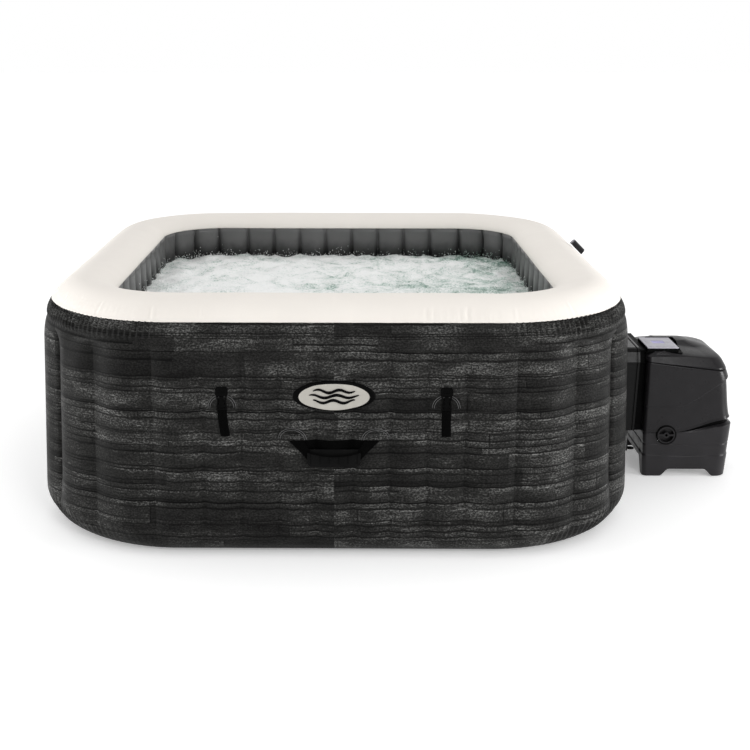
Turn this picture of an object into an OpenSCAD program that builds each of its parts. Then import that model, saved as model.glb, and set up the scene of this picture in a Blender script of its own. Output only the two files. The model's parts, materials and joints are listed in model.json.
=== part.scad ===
// Inflatable square hot tub with its pump and heater unit.
// Frame: origin on the floor under the tub's centre, +Z up, +X towards the pump unit,
// -Y the side with the badge and the carry handle. Millimetres.

/* [Tub] */
// Width of the inflated tub across two opposite walls
tub_w = 1750; // [1600:10:1950]
// Height of the inflated rim's crown above the floor
tub_h = 710; // [690:5:740]
// Plan radius of the tub's outer corners
corner_r = 440; // [400:5:480]
// Thickness of the laminated skins
skin = 2; // [1.5:0.5:3]
// Thickness of the air chamber at the rim
chamber = 234; // [220:2:250]

/* [Webbing and trim] */
// Distance of each cover buckle from the middle of its side
buckle_x = 298; // [280:2:330]
// Height of the buckles' bars above the floor
buckle_z = 425; // [410:5:440]
// Height of the carry handles' swing axis above the floor
handle_z = 341; // [330:1:350]
// Width of the oval badge
badge_w = 220; // [180:5:240]

/* [Pump unit] */
// X of the unit's face towards the tub
unit_x0 = 984; // [980:1:990]
// Depth of the unit along X
unit_w = 296; // [290:1:300]
// Y of the unit's face on the badge side
unit_y0 = -256; // [-262:1:-250]
// Length of the unit along Y
unit_l = 300; // [290:1:310]
// Height of the unit
unit_h = 432; // [428:1:440]
// Wall thickness of the unit's moulded shells
shell_t = 3; // [2.5:0.5:4]

/* [Hidden] */

half = tub_w / 2;
arc_steps = 10;
gap = 0.3;

// Section of the air chamber as insets from the outer face and heights
foot_rx = 80;
foot_rz = 92;
lean = 24;
lean_z = 571;
crown_x = 141;
seam_turn = 37.2;
rim_edge_z = 665;
wall_foot_r = 60;

function arc(cx, cy, rx, ry, a0, a1) =
    [for (i = [0:arc_steps]) let (a = a0 + (a1 - a0) * i / arc_steps)
        [cx + rx * cos(a), cy + ry * sin(a)]];
function back(list) = [for (i = [len(list) - 1:-1:0]) list[i]];
function inset(z) = lean * (z - foot_rz) / (lean_z - foot_rz);
lean_angle = atan(lean / (lean_z - foot_rz));
shoulder_rx = crown_x - lean;
shoulder_rz = tub_h - lean_z;
inner_x = chamber;

// One wall section goes once round the square: straight sides and round corners
module round_tub() {
    straight = 2 * (half - corner_r);
    for (k = [0:3]) rotate([0, 0, 90 * k]) {
        translate([-straight / 2, -half, 0]) rotate([90, 0, 90]) linear_extrude(straight) children();
        translate([straight / 2, -straight / 2, 0])
            rotate_extrude(angle = 90, start = 270, $fn = 96)
                translate([corner_r, 0]) mirror([1, 0]) children();
    }
}

module rounded_plan(inward) {
    h = half - inward;
    r = corner_r - inward;
    square([2 * h, 2 * (h - r)], center = true);
    square([2 * (h - r), 2 * h], center = true);
    for (x = [-1, 1], y = [-1, 1]) translate([x * (h - r), y * (h - r)]) circle(r, $fn = 96);
}

// Places children on a side wall: local x along the wall, y into the wall, z up the wall
module on_wall(side, x, z) {
    rotate([0, 0, 90 * side]) translate([x, -half + inset(z), z]) rotate([-lean_angle, 0, 0])
        children();
}

// ---- Tub skins ----
water_y = [-190, -10];
water_z = 200;
air_y = -100;
air_z = 360;
hose_z = 14;

module outer_wall() {
    color([0.16, 0.16, 0.16]) difference() {
        round_tub() polygon(concat(
            arc(foot_rx, foot_rz, foot_rx, foot_rz, 270, 180),
            arc(crown_x, lean_z, shoulder_rx, shoulder_rz, 180, 180 - seam_turn),
            back(arc(crown_x, lean_z, shoulder_rx - skin, shoulder_rz - skin, 180, 180 - seam_turn)),
            back(arc(foot_rx, foot_rz, foot_rx - skin, foot_rz - skin, 270, 180))));
        for (y = water_y) wall_hole(y, water_z, 22 + gap);
        wall_hole(air_y, air_z, 18 + gap);
    }
}

module wall_hole(y, z, r) {
    translate([half - 60, y, z]) rotate([0, 90, 0]) cylinder(r = r, h = 120, $fn = 48);
}

module top_rim() {
    color([0.93, 0.91, 0.87]) round_tub() polygon(concat(
        arc(crown_x, lean_z, shoulder_rx, shoulder_rz, 180 - seam_turn, 90),
        arc(crown_x, rim_edge_z, inner_x - crown_x, tub_h - rim_edge_z, 90, 0),
        back(arc(crown_x, rim_edge_z, inner_x - crown_x - skin, tub_h - rim_edge_z - skin, 90, 0)),
        back(arc(crown_x, lean_z, shoulder_rx - skin, shoulder_rz - skin, 180 - seam_turn, 90))));
}

module inner_wall() {
    foot = [inner_x + wall_foot_r, wall_foot_r + 2 * skin];
    color([0.27, 0.27, 0.28]) difference() {
        round_tub() polygon(concat(
            [[inner_x, rim_edge_z]],
            arc(foot.x, foot.y, wall_foot_r, wall_foot_r, 180, 270),
            back(arc(foot.x, foot.y, wall_foot_r + skin, wall_foot_r + skin, 180, 270)),
            [[inner_x - skin, rim_edge_z]]));
        for (y = water_y) translate([half - inner_x - 20, y, water_z]) rotate([0, 90, 0])
            cylinder(r = 22 + gap, h = 40, $fn = 48);
        translate([half - inner_x - 90, air_y, hose_z]) rotate([0, 90, 0])
            cylinder(r = 8 + gap, h = 110, $fn = 32);
    }
}

module base_sheet() {
    color([0.2, 0.2, 0.21]) linear_extrude(skin) rounded_plan(foot_rx);
}

// Fibre webs that hold the two walls parallel, one under each weld line
module web() {
    translate([0, 0.75, 0]) rotate([90, 0, 0]) linear_extrude(1.5)
        polygon([[14, 100], [chamber - 16, 100], [chamber - 16, 640], [96, 640], [44, 560]]);
}

module internal_beams() {
    color([0.5, 0.5, 0.52]) for (k = [0:3]) rotate([0, 0, 90 * k]) {
        for (x = [-350:100:350]) translate([x, -half, 0]) rotate([0, 0, 90]) web();
        for (a = [7, 31, 56, 83]) translate([half - corner_r, -(half - corner_r), 0])
            rotate([0, 0, (k % 2 == 0 ? a : 90 - a) + 90]) translate([-corner_r, 0, 0]) web();
    }
}

// Perforated duct on the floor at the foot of the inner wall
channel_x = 318;
channel_r = 21;
module air_channel() {
    jets = 14;
    color([0.33, 0.33, 0.34]) difference() {
        round_tub() difference() {
            translate([channel_x, skin]) circle(channel_r, $fn = 48);
            translate([channel_x, skin]) circle(channel_r - skin, $fn = 48);
            translate([channel_x - 50, skin - 100]) square([100, 100]);
        }
        for (k = [0:3], i = [0:jets - 1]) rotate([0, 0, 90 * k])
            translate([(i - (jets - 1) / 2) * 58, -half + channel_x, 10])
                cylinder(r = 1.5, h = 30, $fn = 8);
        translate([half - channel_x, air_y, hose_z]) rotate([0, 90, 0])
            cylinder(r = 8 + gap, h = 40, $fn = 32);
    }
}

// ---- Badge, handles and cover buckles ----
module badge() {
    ratio = 0.378;
    color([0.9, 0.88, 0.82]) on_wall(0, 0, 463) translate([0, -gap, 0]) rotate([90, 0, 0])
        linear_extrude(3) polygon([for (i = [0:71])
            [badge_w / 2 * cos(5 * i), badge_w * ratio / 2 * sin(5 * i)]]);
}

// Half-round welded patch: flat edge down, 2 mm thick
module half_patch(r, squash_r) {
    translate([0, -gap, 0]) rotate([90, 0, 0]) linear_extrude(2)
        intersection() {
            translate([0, -squash_r]) circle(r + squash_r, $fn = 72);
            translate([-2 * r, 0]) square([4 * r, 2 * r]);
        }
}

handle_half = 112;
module handle_patches() {
    color([0.17, 0.17, 0.17]) for (side = [0, 2], x = [-handle_half, handle_half])
        on_wall(side, x, handle_z) half_patch(34, 6);
}

// Flat webbing from each patch down to the grip, and the sleeves it is sewn into
grip_l = 142;
grip_top = -24;
grip_h = 46;
module handle_straps(side) {
    color([0.04, 0.04, 0.04]) on_wall(side, 0, handle_z) for (s = [-1, 1])
        translate([0, -3, 0]) rotate([90, 0, 0]) linear_extrude(2.5)
            polygon([[s * (handle_half + 9), -1], [s * (handle_half - 9), -1],
                [s * (grip_l / 2 - 14), -44], [s * (grip_l / 2 + gap), -56],
                [s * (grip_l / 2 + gap), -34]]);
}

// Moulded grip: a ribbed bar with a hollow back that sleeves over the webbing
module handle_grip(side) {
    color([0.05, 0.05, 0.05]) on_wall(side, 0, handle_z) translate([0, -5.5 - gap, grip_top])
        difference() {
            translate([-grip_l / 2, -20, -grip_h]) cube([grip_l, 20, grip_h]);
            translate([-grip_l / 2 + 6, -15, -grip_h + 12]) cube([grip_l - 12, 16, grip_h]);
            for (i = [0:5]) translate([(i - 2.5) * 22 - 1.5, -21, -grip_h + 10])
                cube([3, 3, 22]);
        }
}
module front_handle_straps() { handle_straps(0); }
module front_handle_grip() { handle_grip(0); }
module back_handle_straps() { handle_straps(2); }
module back_handle_grip() { handle_grip(2); }

module buckle_patches() {
    color([0.17, 0.17, 0.17]) for (side = [0:3], x = [-buckle_x, buckle_x])
        on_wall(side, x, buckle_z + 4) half_patch(39, 0);
}

// 25 mm webbing under each buckle, hanging below its bar
module buckle_webbing() {
    color([0.03, 0.03, 0.03]) for (side = [0:3], x = [-buckle_x, buckle_x])
        on_wall(side, x, buckle_z + 3) translate([-12.5, -gap - 1.6, -76]) cube([25, 1.6, 76]);
}

// Socket half of a side-release buckle, standing up from its bar
buckle_len = 62;
module buckle(side, x) {
    color([0.03, 0.03, 0.03]) on_wall(side, x, buckle_z) translate([0, -2.9, 0])
        rotate([90, 0, 0]) difference() {
            linear_extrude(8) polygon([[-14, 0], [14, 0], [14, 15], [11, 24], [12, 36],
                [17, 42], [17, 58], [14, buckle_len], [-14, buckle_len], [-17, 58],
                [-17, 42], [-12, 36], [-11, 24], [-14, 15]]);
            translate([-12, 4, -1]) cube([24, 6, 10]);
            translate([-12, 40, 2]) cube([24, buckle_len, 4]);
        }
}
module buckle_front_left() { buckle(0, -buckle_x); }
module buckle_front_right() { buckle(0, buckle_x); }
module buckle_right_front() { buckle(1, -buckle_x); }
module buckle_right_back() { buckle(1, buckle_x); }
module buckle_back_right() { buckle(2, -buckle_x); }
module buckle_back_left() { buckle(2, buckle_x); }
module buckle_left_back() { buckle(3, -buckle_x); }
module buckle_left_front() { buckle(3, buckle_x); }

// ---- Air valve on the rim's shoulder ----
valve_y = 130;
valve_inset = 66;
valve_r = 26;
valve_turn = acos((crown_x - valve_inset) / shoulder_rx);
valve_tilt = atan((crown_x - valve_inset) / pow(shoulder_rx, 2)
    / (sin(valve_turn) / shoulder_rz));
module on_valve() {
    translate([half - valve_inset, valve_y, lean_z + shoulder_rz * sin(valve_turn)])
        rotate([0, valve_tilt, 0]) translate([0, 0, 4]) children();
}

// Round flange with a hood that faces up the slope and holds the plug
module air_valve_hood() {
    color([0.04, 0.04, 0.04]) on_valve() difference() {
        union() {
            cylinder(r = valve_r, h = 2.5, $fn = 72);
            rotate([0, -90, 0]) translate([0, 0, -24]) intersection() {
                cylinder(r = 19, h = 48, $fn = 72);
                translate([0, -30, -1]) cube([30, 60, 60]);
            }
        }
        rotate([0, -90, 0]) translate([9.6, 0, 6]) cylinder(r = 7.5, h = 30, $fn = 48);
    }
}

module air_valve_plug() {
    color([0.62, 0.62, 0.63]) on_valve() rotate([0, -90, 0]) translate([9.6, 0, 6])
        difference() {
            cylinder(r = 7.45, h = 21, $fn = 48);
            for (y = [-4, 0, 4]) translate([-5, y - 1, 18]) cube([10, 2, 5]);
        }
}

// ---- Fittings through the wall ----
module pipe_x(x0, x1, y, z, r, t) {
    translate([x0, y, z]) rotate([0, 90, 0]) difference() {
        cylinder(r = r, h = x1 - x0, $fn = 48);
        translate([0, 0, -1]) cylinder(r = r - t, h = x1 - x0 + 2, $fn = 48);
    }
}

inner_face = half - inner_x;
water_flange_x = 872;
nose_end = 896;
air_flange_x = 864;
module wall_fittings() {
    color([0.12, 0.12, 0.12]) {
        for (y = water_y) {
            pipe_x(inner_face - 8, nose_end, y, water_z, 22, 4);
            pipe_x(water_flange_x, water_flange_x + 5, y, water_z, 38, 16.5);
            pipe_x(inner_face - 6, inner_face - gap, y, water_z, 38, 16.5);
            pipe_x(water_flange_x + 5, nose_end, y, water_z, 25, 4);
        }
        pipe_x(air_flange_x, air_flange_x + 5, air_y, air_z, 30, 13);
        pipe_x(760, nose_end, air_y, air_z, 18, 4);
        difference() {
            translate([760, air_y, hose_z]) cylinder(r = 12, h = air_z - hose_z, $fn = 48);
            translate([760, air_y, hose_z + 8]) cylinder(r = 10, h = air_z - hose_z, $fn = 48);
            translate([760, air_y, air_z]) rotate([0, 90, 0]) cylinder(r = 14, h = 40, $fn = 48);
        }
        pipe_x(half - channel_x + channel_r - 2, 750, air_y, hose_z, 8, 2);
    }
}

module return_nozzle() {
    color([0.3, 0.3, 0.31]) translate([inner_face - 30, 0, water_z]) rotate([0, 90, 0])
        difference() {
            union() {
                cylinder(r = 30, h = 20, $fn = 64);
                sphere(r = 20, $fn = 64);
            }
            translate([0, 0, -40]) cylinder(r = 12, h = 70, $fn = 48);
            translate([0, 0, -60]) cylinder(r = 40, h = 45, $fn = 48);
        }
}

filter_x = inner_face - 80;
module filter_housing() {
    color([0.3, 0.3, 0.31]) translate([filter_x, water_y[0], water_z]) rotate([0, 90, 0])
        difference() {
            cylinder(r = 55, h = 70, $fn = 96);
            translate([0, 0, -1]) cylinder(r = 52, h = 68, $fn = 96);
            cylinder(r = 18, h = 80, $fn = 48);
        }
}

module filter_cartridge() {
    folds = 36;
    color([0.86, 0.9, 0.93]) translate([filter_x + 4, water_y[0], water_z]) rotate([0, 90, 0])
        difference() {
            linear_extrude(60) polygon([for (i = [0:2 * folds - 1])
                (i % 2 == 0 ? 50 : 43) * [cos(180 * i / folds), sin(180 * i / folds)]]);
            translate([0, 0, -1]) cylinder(r = 22, h = 62, $fn = 48);
        }
}

// Slotted twist cap that closes the filter housing
module filter_cap() {
    color([0.34, 0.34, 0.35]) translate([filter_x - 12, water_y[0], water_z])
        rotate([0, 90, 0]) difference() {
            cylinder(r = 58, h = 12 - gap, $fn = 96);
            for (i = [-4:4]) translate([i * 11 - 2, -34, -1]) cube([4, 68, 20]);
            translate([0, 0, 4]) cylinder(r = 50, h = 20, $fn = 96);
        }
}

// ---- Couplings between the tub and the unit ----
seal_end = nose_end + 3;
module coupling_seals() {
    color([0.08, 0.08, 0.08]) {
        for (y = water_y) pipe_x(nose_end, seal_end, y, water_z, 24, 5);
        pipe_x(nose_end, seal_end, air_y, air_z, 17, 4);
    }
}

// Union nut: slides on the threaded nose, its lip behind the tail flange
module union_nut(y, z, nose_r, pipe_r) {
    translate([nose_end - 14, y, z]) rotate([0, 90, 0]) difference() {
        union() {
            cylinder(r = nose_r + 6, h = 28, $fn = 72);
            for (a = [0:45:315]) rotate([0, 0, a]) translate([nose_r + 3, -4, 0])
                cube([5.5, 8, 28]);
        }
        translate([0, 0, -1]) cylinder(r = nose_r + 0.08, h = 22.4, $fn = 72);
        cylinder(r = pipe_r + 0.6, h = 40, $fn = 72);
    }
}
module water_in_nut() { color([0.1, 0.1, 0.1]) union_nut(water_y[0], water_z, 25, 18); }
module water_out_nut() { color([0.1, 0.1, 0.1]) union_nut(water_y[1], water_z, 25, 18); }
module air_nut() { color([0.1, 0.1, 0.1]) union_nut(air_y, air_z, 18, 12); }

// ---- Pump and heater unit ----
unit_x1 = unit_x0 + unit_w;
unit_y1 = unit_y0 + unit_l;
plan_r = 38;
part_z = 152;
part_rise = 34;
cover_z = 386;
deck_z = 58;

// Outline of the unit looking along +Y
module unit_front_outline() {
    polygon([[unit_x0 + 13, -20], [unit_x0 + 3, part_z], [unit_x0, cover_z],
        [unit_x0 + 4, unit_h - 8], [unit_x0 + 20, unit_h], [unit_x0 + 150, unit_h - 3],
        [unit_x1 - 76, unit_h - 16], [unit_x1 - 52, unit_h - 34], [unit_x1 - 26, 330],
        [unit_x1 - 14, 240], [unit_x1, part_z + part_rise], [unit_x1 - 9, -20]]);
}

// Outline of the unit looking along -X: u is Y, v is Z
module unit_side_outline() {
    polygon([[unit_y0 + 4, -20], [unit_y0, part_z], [unit_y0 + 2, cover_z],
        [unit_y0 + 10, unit_h - 18], [unit_y0 + 24, unit_h - 6], [unit_y0 + 80, unit_h],
        [unit_y1 - 144, unit_h], [unit_y1 - 50, unit_h - 26], [unit_y1 - 12, 350],
        [unit_y1, part_z], [unit_y1 - 4, -20]]);
}

module unit_plan(inward) {
    x0 = unit_x0 + inward;
    x1 = unit_x1 - inward;
    y0 = unit_y0 + inward;
    y1 = unit_y1 - inward;
    r = plan_r - inward;
    translate([x0, y0 + r]) square([x1 - x0, y1 - y0 - 2 * r]);
    translate([x0 + r, y0]) square([x1 - x0 - 2 * r, y1 - y0]);
    for (x = [x0 + r, x1 - r], y = [y0 + r, y1 - r]) translate([x, y]) circle(r, $fn = 64);
}

module unit_solid(inward) {
    intersection() {
        translate([0, 300, 0]) rotate([90, 0, 0]) linear_extrude(700)
            offset(delta = -inward) unit_front_outline();
        translate([800, 0, 0]) rotate([90, 0, 90]) linear_extrude(700)
            offset(delta = -inward) unit_side_outline();
        translate([0, 0, -10]) linear_extrude(600) unit_plan(inward);
    }
}

// Region below the line where the base meets the shell
module below_parting() {
    translate([0, 300, 0]) rotate([90, 0, 0]) linear_extrude(700)
        polygon([[900, -30], [1400, -30], [1400, part_z + part_rise],
            [unit_x1, part_z + part_rise], [unit_x0 + 150, part_z], [900, part_z]]);
}

// Ribs on the deck that carry the pump and the heater
module saddles() {
    difference() {
        for (y = [volute_y + 16, volute_y + 56, volute_y + 116])
            translate([pump_x - 24, y, deck_z + 2]) cube([48, 5, 26]);
        translate([pump_x, volute_y - 1, pump_z]) rotate([-90, 0, 0])
            cylinder(r = 40 + gap, h = 38, $fn = 96);
        translate([pump_x, volute_y, pump_z]) rotate([-90, 0, 0])
            cylinder(r = 37 + gap, h = 150, $fn = 96);
    }
    difference() {
        for (y = [-180, -60]) translate([heater_x - 16, y, deck_z + 2]) cube([32, 5, 38]);
        translate([heater_x, -300, pump_z]) rotate([-90, 0, 0])
            cylinder(r = 21 + gap, h = 400, $fn = 72);
    }
}

module foot_posts(z0, z1, r) {
    inset_xy = plan_r - 12;
    for (x = [unit_x0 + inset_xy + 8, unit_x1 - inset_xy - 8],
         y = [unit_y0 + inset_xy + 4, unit_y1 - inset_xy - 4])
        translate([x, y, z0]) cylinder(r = r, h = z1 - z0, $fn = 40);
}

gland_x = unit_x1 - 130;
gland_z = 95;
drain_x = unit_x0 + 78;
drain_z = 144;
drain_r = 32;
module drain_bore() {
    translate([drain_x, unit_y0 + 30, drain_z]) rotate([90, 0, 0])
        cylinder(r = drain_r + gap, h = 60, $fn = 72);
}

module unit_base() {
    color([0.09, 0.09, 0.095]) difference() {
        union() {
            difference() {
                intersection() {
                    unit_solid(0);
                    below_parting();
                }
                difference() {
                    unit_solid(shell_t);
                    translate([800, -500, deck_z]) cube([700, 900, 4]);
                }
            }
            foot_posts(2, deck_z + 2, 15);
            saddles();
        }
        // Arches between the feet
        translate([unit_x0 + 60, -600, -1]) rotate([90, 0, 0]) mirror([0, 0, 1])
            linear_extrude(1000) polygon([[0, 0], [unit_w - 118, 0], [unit_w - 134, 21],
                [16, 21]]);
        translate([800, unit_y0 + 44, -1]) rotate([90, 0, 90]) linear_extrude(700)
            polygon([[0, 0], [unit_l - 96, 0], [unit_l - 106, 54], [10, 54]]);
        translate([800, -500, -40]) cube([700, 900, 42]);
        drain_bore();
        translate([gland_x, unit_y1 - 30, gland_z]) rotate([-90, 0, 0])
            cylinder(r = 10, h = 60, $fn = 48);
    }
}

module unit_shell() {
    color([0.1, 0.1, 0.105]) difference() {
        unit_solid(0);
        unit_solid(shell_t);
        below_parting();
        translate([800, -500, cover_z]) cube([700, 900, 300]);
        drain_bore();
        for (y = water_y) translate([unit_x0 - 40, y, water_z]) rotate([0, 90, 0])
            cylinder(r = 18 + gap, h = 70, $fn = 48);
        translate([unit_x0 - 40, air_y, air_z]) rotate([0, 90, 0])
            cylinder(r = 12 + gap, h = 70, $fn = 48);
        // Air intake louvres in the back
        for (i = [0:4]) translate([unit_x0 + 70, unit_y1 - 60, 230 + i * 16])
            cube([120, 100, 6]);
    }
}

panel_x = 1036;
panel_y = -170;
panel_w = 98;
panel_l = 128;
panel_z = 422;
module unit_top_cover() {
    color([0.1, 0.1, 0.105]) difference() {
        union() {
            difference() {
                unit_solid(0);
                unit_solid(shell_t);
                translate([800, -500, cover_z - 400]) cube([700, 900, 400]);
            }
            intersection() {
                unit_solid(0);
                translate([panel_x - panel_w / 2 - 6, panel_y - panel_l / 2 - 6, panel_z - 12])
                    cube([panel_w + 12, panel_l + 12, 40]);
            }
        }
        translate([panel_x - panel_w / 2 - 2, panel_y - panel_l / 2 - 2, panel_z - 8])
            cube([panel_w + 4, panel_l + 4, 60]);
    }
}

// Hood over the couplings, open towards the tub and below
cowl_x0 = 884;
cowl_y0 = -238;
cowl_y1 = 28;
module unit_cowl() {
    color([0.06, 0.06, 0.06]) difference() {
        translate([cowl_x0, cowl_y0, part_z]) cube([unit_x0 - cowl_x0 - 1, cowl_y1 - cowl_y0, 270]);
        translate([cowl_x0 - 1, cowl_y0 + 3, part_z - 1])
            cube([unit_x0 - cowl_x0 + 2, cowl_y1 - cowl_y0 - 6, 268]);
        translate([cowl_x0 - 1, cowl_y0 - 1, 402]) cube([60, 400, 40]);
    }
}

module rubber_feet() {
    color([0.05, 0.05, 0.05]) foot_posts(0, 2, 14);
}

module unit_screws() {
    color([0.6, 0.6, 0.62]) {
        for (x = [unit_x0 + 70, unit_x1 - 70], y = [unit_y0 + 22, unit_y1 - 22])
            translate([x, y, deck_z - 3]) cylinder(r = 4, h = 3, $fn = 32);
        for (y = [unit_y0 + 60, unit_y1 - 60]) translate([unit_x1 - 44, y, deck_z - 3])
            cylinder(r = 4, h = 3, $fn = 32);
    }
}

module drain_port() {
    color([0.07, 0.07, 0.07]) translate([drain_x, unit_y0 + 26, drain_z]) rotate([90, 0, 0])
        difference() {
            cylinder(r = drain_r, h = 29, $fn = 72);
            translate([0, 0, 5]) cylinder(r = 28, h = 40, $fn = 72);
            translate([0, 0, -1]) cylinder(r = 8, h = 20, $fn = 48);
        }
}

// Drain plug with a finger web across it and a square socket in its hub
module drain_cap() {
    color([0.06, 0.06, 0.06]) translate([drain_x, unit_y0 + 20, drain_z]) rotate([90, 0, 0])
        difference() {
            union() {
                cylinder(r = 27.92, h = 9, $fn = 72);
                difference() {
                    cylinder(r = 27.92, h = 23, $fn = 72);
                    translate([0, 0, 9]) cylinder(r = 24, h = 20, $fn = 72);
                }
                translate([-26, -3, 8]) cube([52, 6, 15]);
                cylinder(r = 9, h = 23, $fn = 48);
            }
            translate([0, 0, 12]) rotate([0, 0, 45]) translate([-4, -4, 0]) cube([8, 8, 20]);
        }
}

module cable_gland() {
    color([0.05, 0.05, 0.05]) translate([gland_x, unit_y1 - 24, gland_z]) rotate([-90, 0, 0])
        difference() {
            union() {
                cylinder(r = 9.8, h = 30, $fn = 48);
                translate([0, 0, 24.3]) cylinder(r = 14, h = 6, $fn = 6);
                translate([0, 0, 30.3]) cylinder(r = 10, h = 9, $fn = 48);
            }
            translate([0, 0, -1]) cylinder(r = 4.5, h = 60, $fn = 48);
        }
}

// ---- Control panel, lifted out of the cover's recess ----
module panel_body() {
    color([0.07, 0.07, 0.08]) translate([panel_x, panel_y, panel_z - 8 + gap]) difference() {
        translate([-panel_w / 2, -panel_l / 2, 0]) cube([panel_w, panel_l, 12]);
        translate([-panel_w / 2 + 3, -panel_l / 2 + 3, 3]) cube([panel_w - 6, panel_l - 6, 12]);
    }
}

lcd_w = 40;
lcd_l = 34;
key_r = 7;
key_places = [[-33, -46], [-11, -46], [11, -46], [33, -46], [-33, 10], [33, 10]];
face_z = panel_z + 4 + gap;
module panel_face() {
    color([0.8, 0.8, 0.84]) translate([panel_x, panel_y, face_z]) difference() {
        translate([-panel_w / 2, -panel_l / 2, 0]) cube([panel_w, panel_l, 3]);
        translate([-lcd_w / 2, -lcd_l / 2 + 6, -1]) cube([lcd_w, lcd_l, 5]);
        for (p = key_places) translate([p.x, p.y, -1]) cylinder(r = key_r + 0.4, h = 5, $fn = 40);
    }
}

module panel_lcd() {
    color([0.4, 0.38, 0.62]) translate([panel_x, panel_y, face_z])
        translate([-lcd_w / 2 + gap, -lcd_l / 2 + 6 + gap, -2])
            cube([lcd_w - 2 * gap, lcd_l - 2 * gap, 4.6]);
}

module panel_key(i) {
    color([0.7, 0.7, 0.75]) translate([panel_x + key_places[i].x, panel_y + key_places[i].y,
        face_z - 1.5]) cylinder(r = key_r, h = 5, $fn = 40);
}
module key_power() { panel_key(0); }
module key_heat() { panel_key(1); }
module key_filter() { panel_key(2); }
module key_bubbles() { panel_key(3); }
module key_up() { panel_key(4); }
module key_down() { panel_key(5); }

// ---- Inside the unit ----
pump_x = 1110;
pump_z = 110;
volute_y = -215;
shaft_r = 4;
module pump_housing() {
    color([0.2, 0.2, 0.22]) translate([pump_x, volute_y, pump_z]) rotate([-90, 0, 0])
        difference() {
            cylinder(r = 40, h = 36, $fn = 96);
            translate([0, 0, 3]) cylinder(r = 36, h = 26, $fn = 96);
            translate([0, 0, 20]) cylinder(r = shaft_r + 0.05, h = 30, $fn = 48);
            translate([0, -28, 17]) rotate([90, 0, 0]) cylinder(r = 10, h = 20, $fn = 48);
            translate([28, 0, 17]) rotate([0, 90, 0]) cylinder(r = 9, h = 20, $fn = 48);
        }
}

module pump_motor() {
    color([0.55, 0.56, 0.58]) translate([pump_x, volute_y + 36, pump_z]) rotate([-90, 0, 0])
        difference() {
            union() {
                cylinder(r = 34, h = 100, $fn = 96);
                for (a = [0:30:330]) rotate([0, 0, a]) translate([33, -1, 10]) cube([4, 2, 80]);
            }
            translate([0, 0, 6]) cylinder(r = 30, h = 88, $fn = 96);
            translate([0, 0, -1]) cylinder(r = shaft_r + 0.05, h = 97, $fn = 48);
        }
}

// Impeller and motor rotor on one shaft
module pump_rotor() {
    color([0.75, 0.74, 0.7]) translate([pump_x, volute_y, pump_z]) rotate([-90, 0, 0]) {
        translate([0, 0, 6]) cylinder(r = shaft_r, h = 120, $fn = 48);
        translate([0, 0, 22]) cylinder(r = 33, h = 3, $fn = 72);
        for (a = [0:60:300]) rotate([0, 0, a]) translate([6, -1.5, 8]) cube([26, 3, 16]);
        translate([0, 0, 8]) cylinder(r = 8, h = 16, $fn = 48);
        translate([0, 0, 50]) cylinder(r = 22, h = 70, $fn = 72);
    }
}

heater_x = 1205;
module heater_tube() {
    color([0.72, 0.73, 0.75]) translate([heater_x, -226, pump_z]) rotate([-90, 0, 0])
        difference() {
            union() {
                cylinder(r = 21, h = 242, $fn = 72);
                for (z = [0, 232]) translate([0, 0, z]) cylinder(r = 26, h = 10, $fn = 72);
                for (z = [70, 150]) translate([0, -30, z]) cylinder(r = 5, h = 12, $fn = 32);
                for (z = [70, 150]) translate([-4, -30, z]) cube([8, 12, 12]);
            }
            translate([0, 0, 4]) cylinder(r = 18, h = 234, $fn = 72);
            translate([-30, 0, 28]) rotate([0, 90, 0]) cylinder(r = 9, h = 20, $fn = 48);
            translate([0, -10, 216]) rotate([90, 0, 0]) cylinder(r = 9, h = 20, $fn = 48);
        }
}

blower_y = -110;
blower_z = 240;
module blower_housing() {
    color([0.16, 0.16, 0.17]) translate([pump_x, blower_y, blower_z]) difference() {
        union() {
            cylinder(r = 52, h = 56, $fn = 96);
            translate([0, 0, 56]) cylinder(r = 26, h = 44, $fn = 72);
        }
        translate([0, 0, 3]) cylinder(r = 48, h = 50, $fn = 96);
        translate([0, 0, -1]) cylinder(r = 20, h = 10, $fn = 72);
        translate([0, 0, 40]) cylinder(r = shaft_r + 0.05, h = 54, $fn = 48);
        translate([0, 0, 66]) cylinder(r = 22, h = 28, $fn = 72);
        translate([-70, 10, 28]) rotate([0, 90, 0]) cylinder(r = 12, h = 40, $fn = 48);
    }
}

module blower_fan() {
    color([0.8, 0.8, 0.78]) translate([pump_x, blower_y, blower_z]) {
        translate([0, 0, 12]) cylinder(r = shaft_r, h = 80, $fn = 48);
        translate([0, 0, 44]) cylinder(r = 42, h = 2.5, $fn = 72);
        for (a = [0:30:330]) rotate([0, 0, a]) translate([26, -1, 12]) cube([15, 2, 33]);
        translate([0, 0, 68]) cylinder(r = 17, h = 22, $fn = 72);
    }
}

board_x = 1216;
module control_board() {
    color([0.05, 0.3, 0.18]) translate([board_x, -216, 190]) cube([2, 174, 140]);
    color([0.1, 0.1, 0.12]) for (i = [0:3]) translate([board_x - 18, -200 + i * 30, 210])
        cube([18, 20, 28]);
    color([0.25, 0.22, 0.1]) translate([board_x - 30, -70, 250]) cube([30, 34, 40]);
}

// Hard pipes: tub to pump, pump to heater, heater to tub, blower to tub
module tail(y, z, r, flange_r, x1) {
    pipe_x(seal_end, x1, y, z, r, 3);
    pipe_x(seal_end, seal_end + 3, y, z, flange_r, flange_r - r + 1);
}

module elbow(x, y, z, r) {
    translate([x, y, z]) sphere(r = r, $fn = 48);
}

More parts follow.
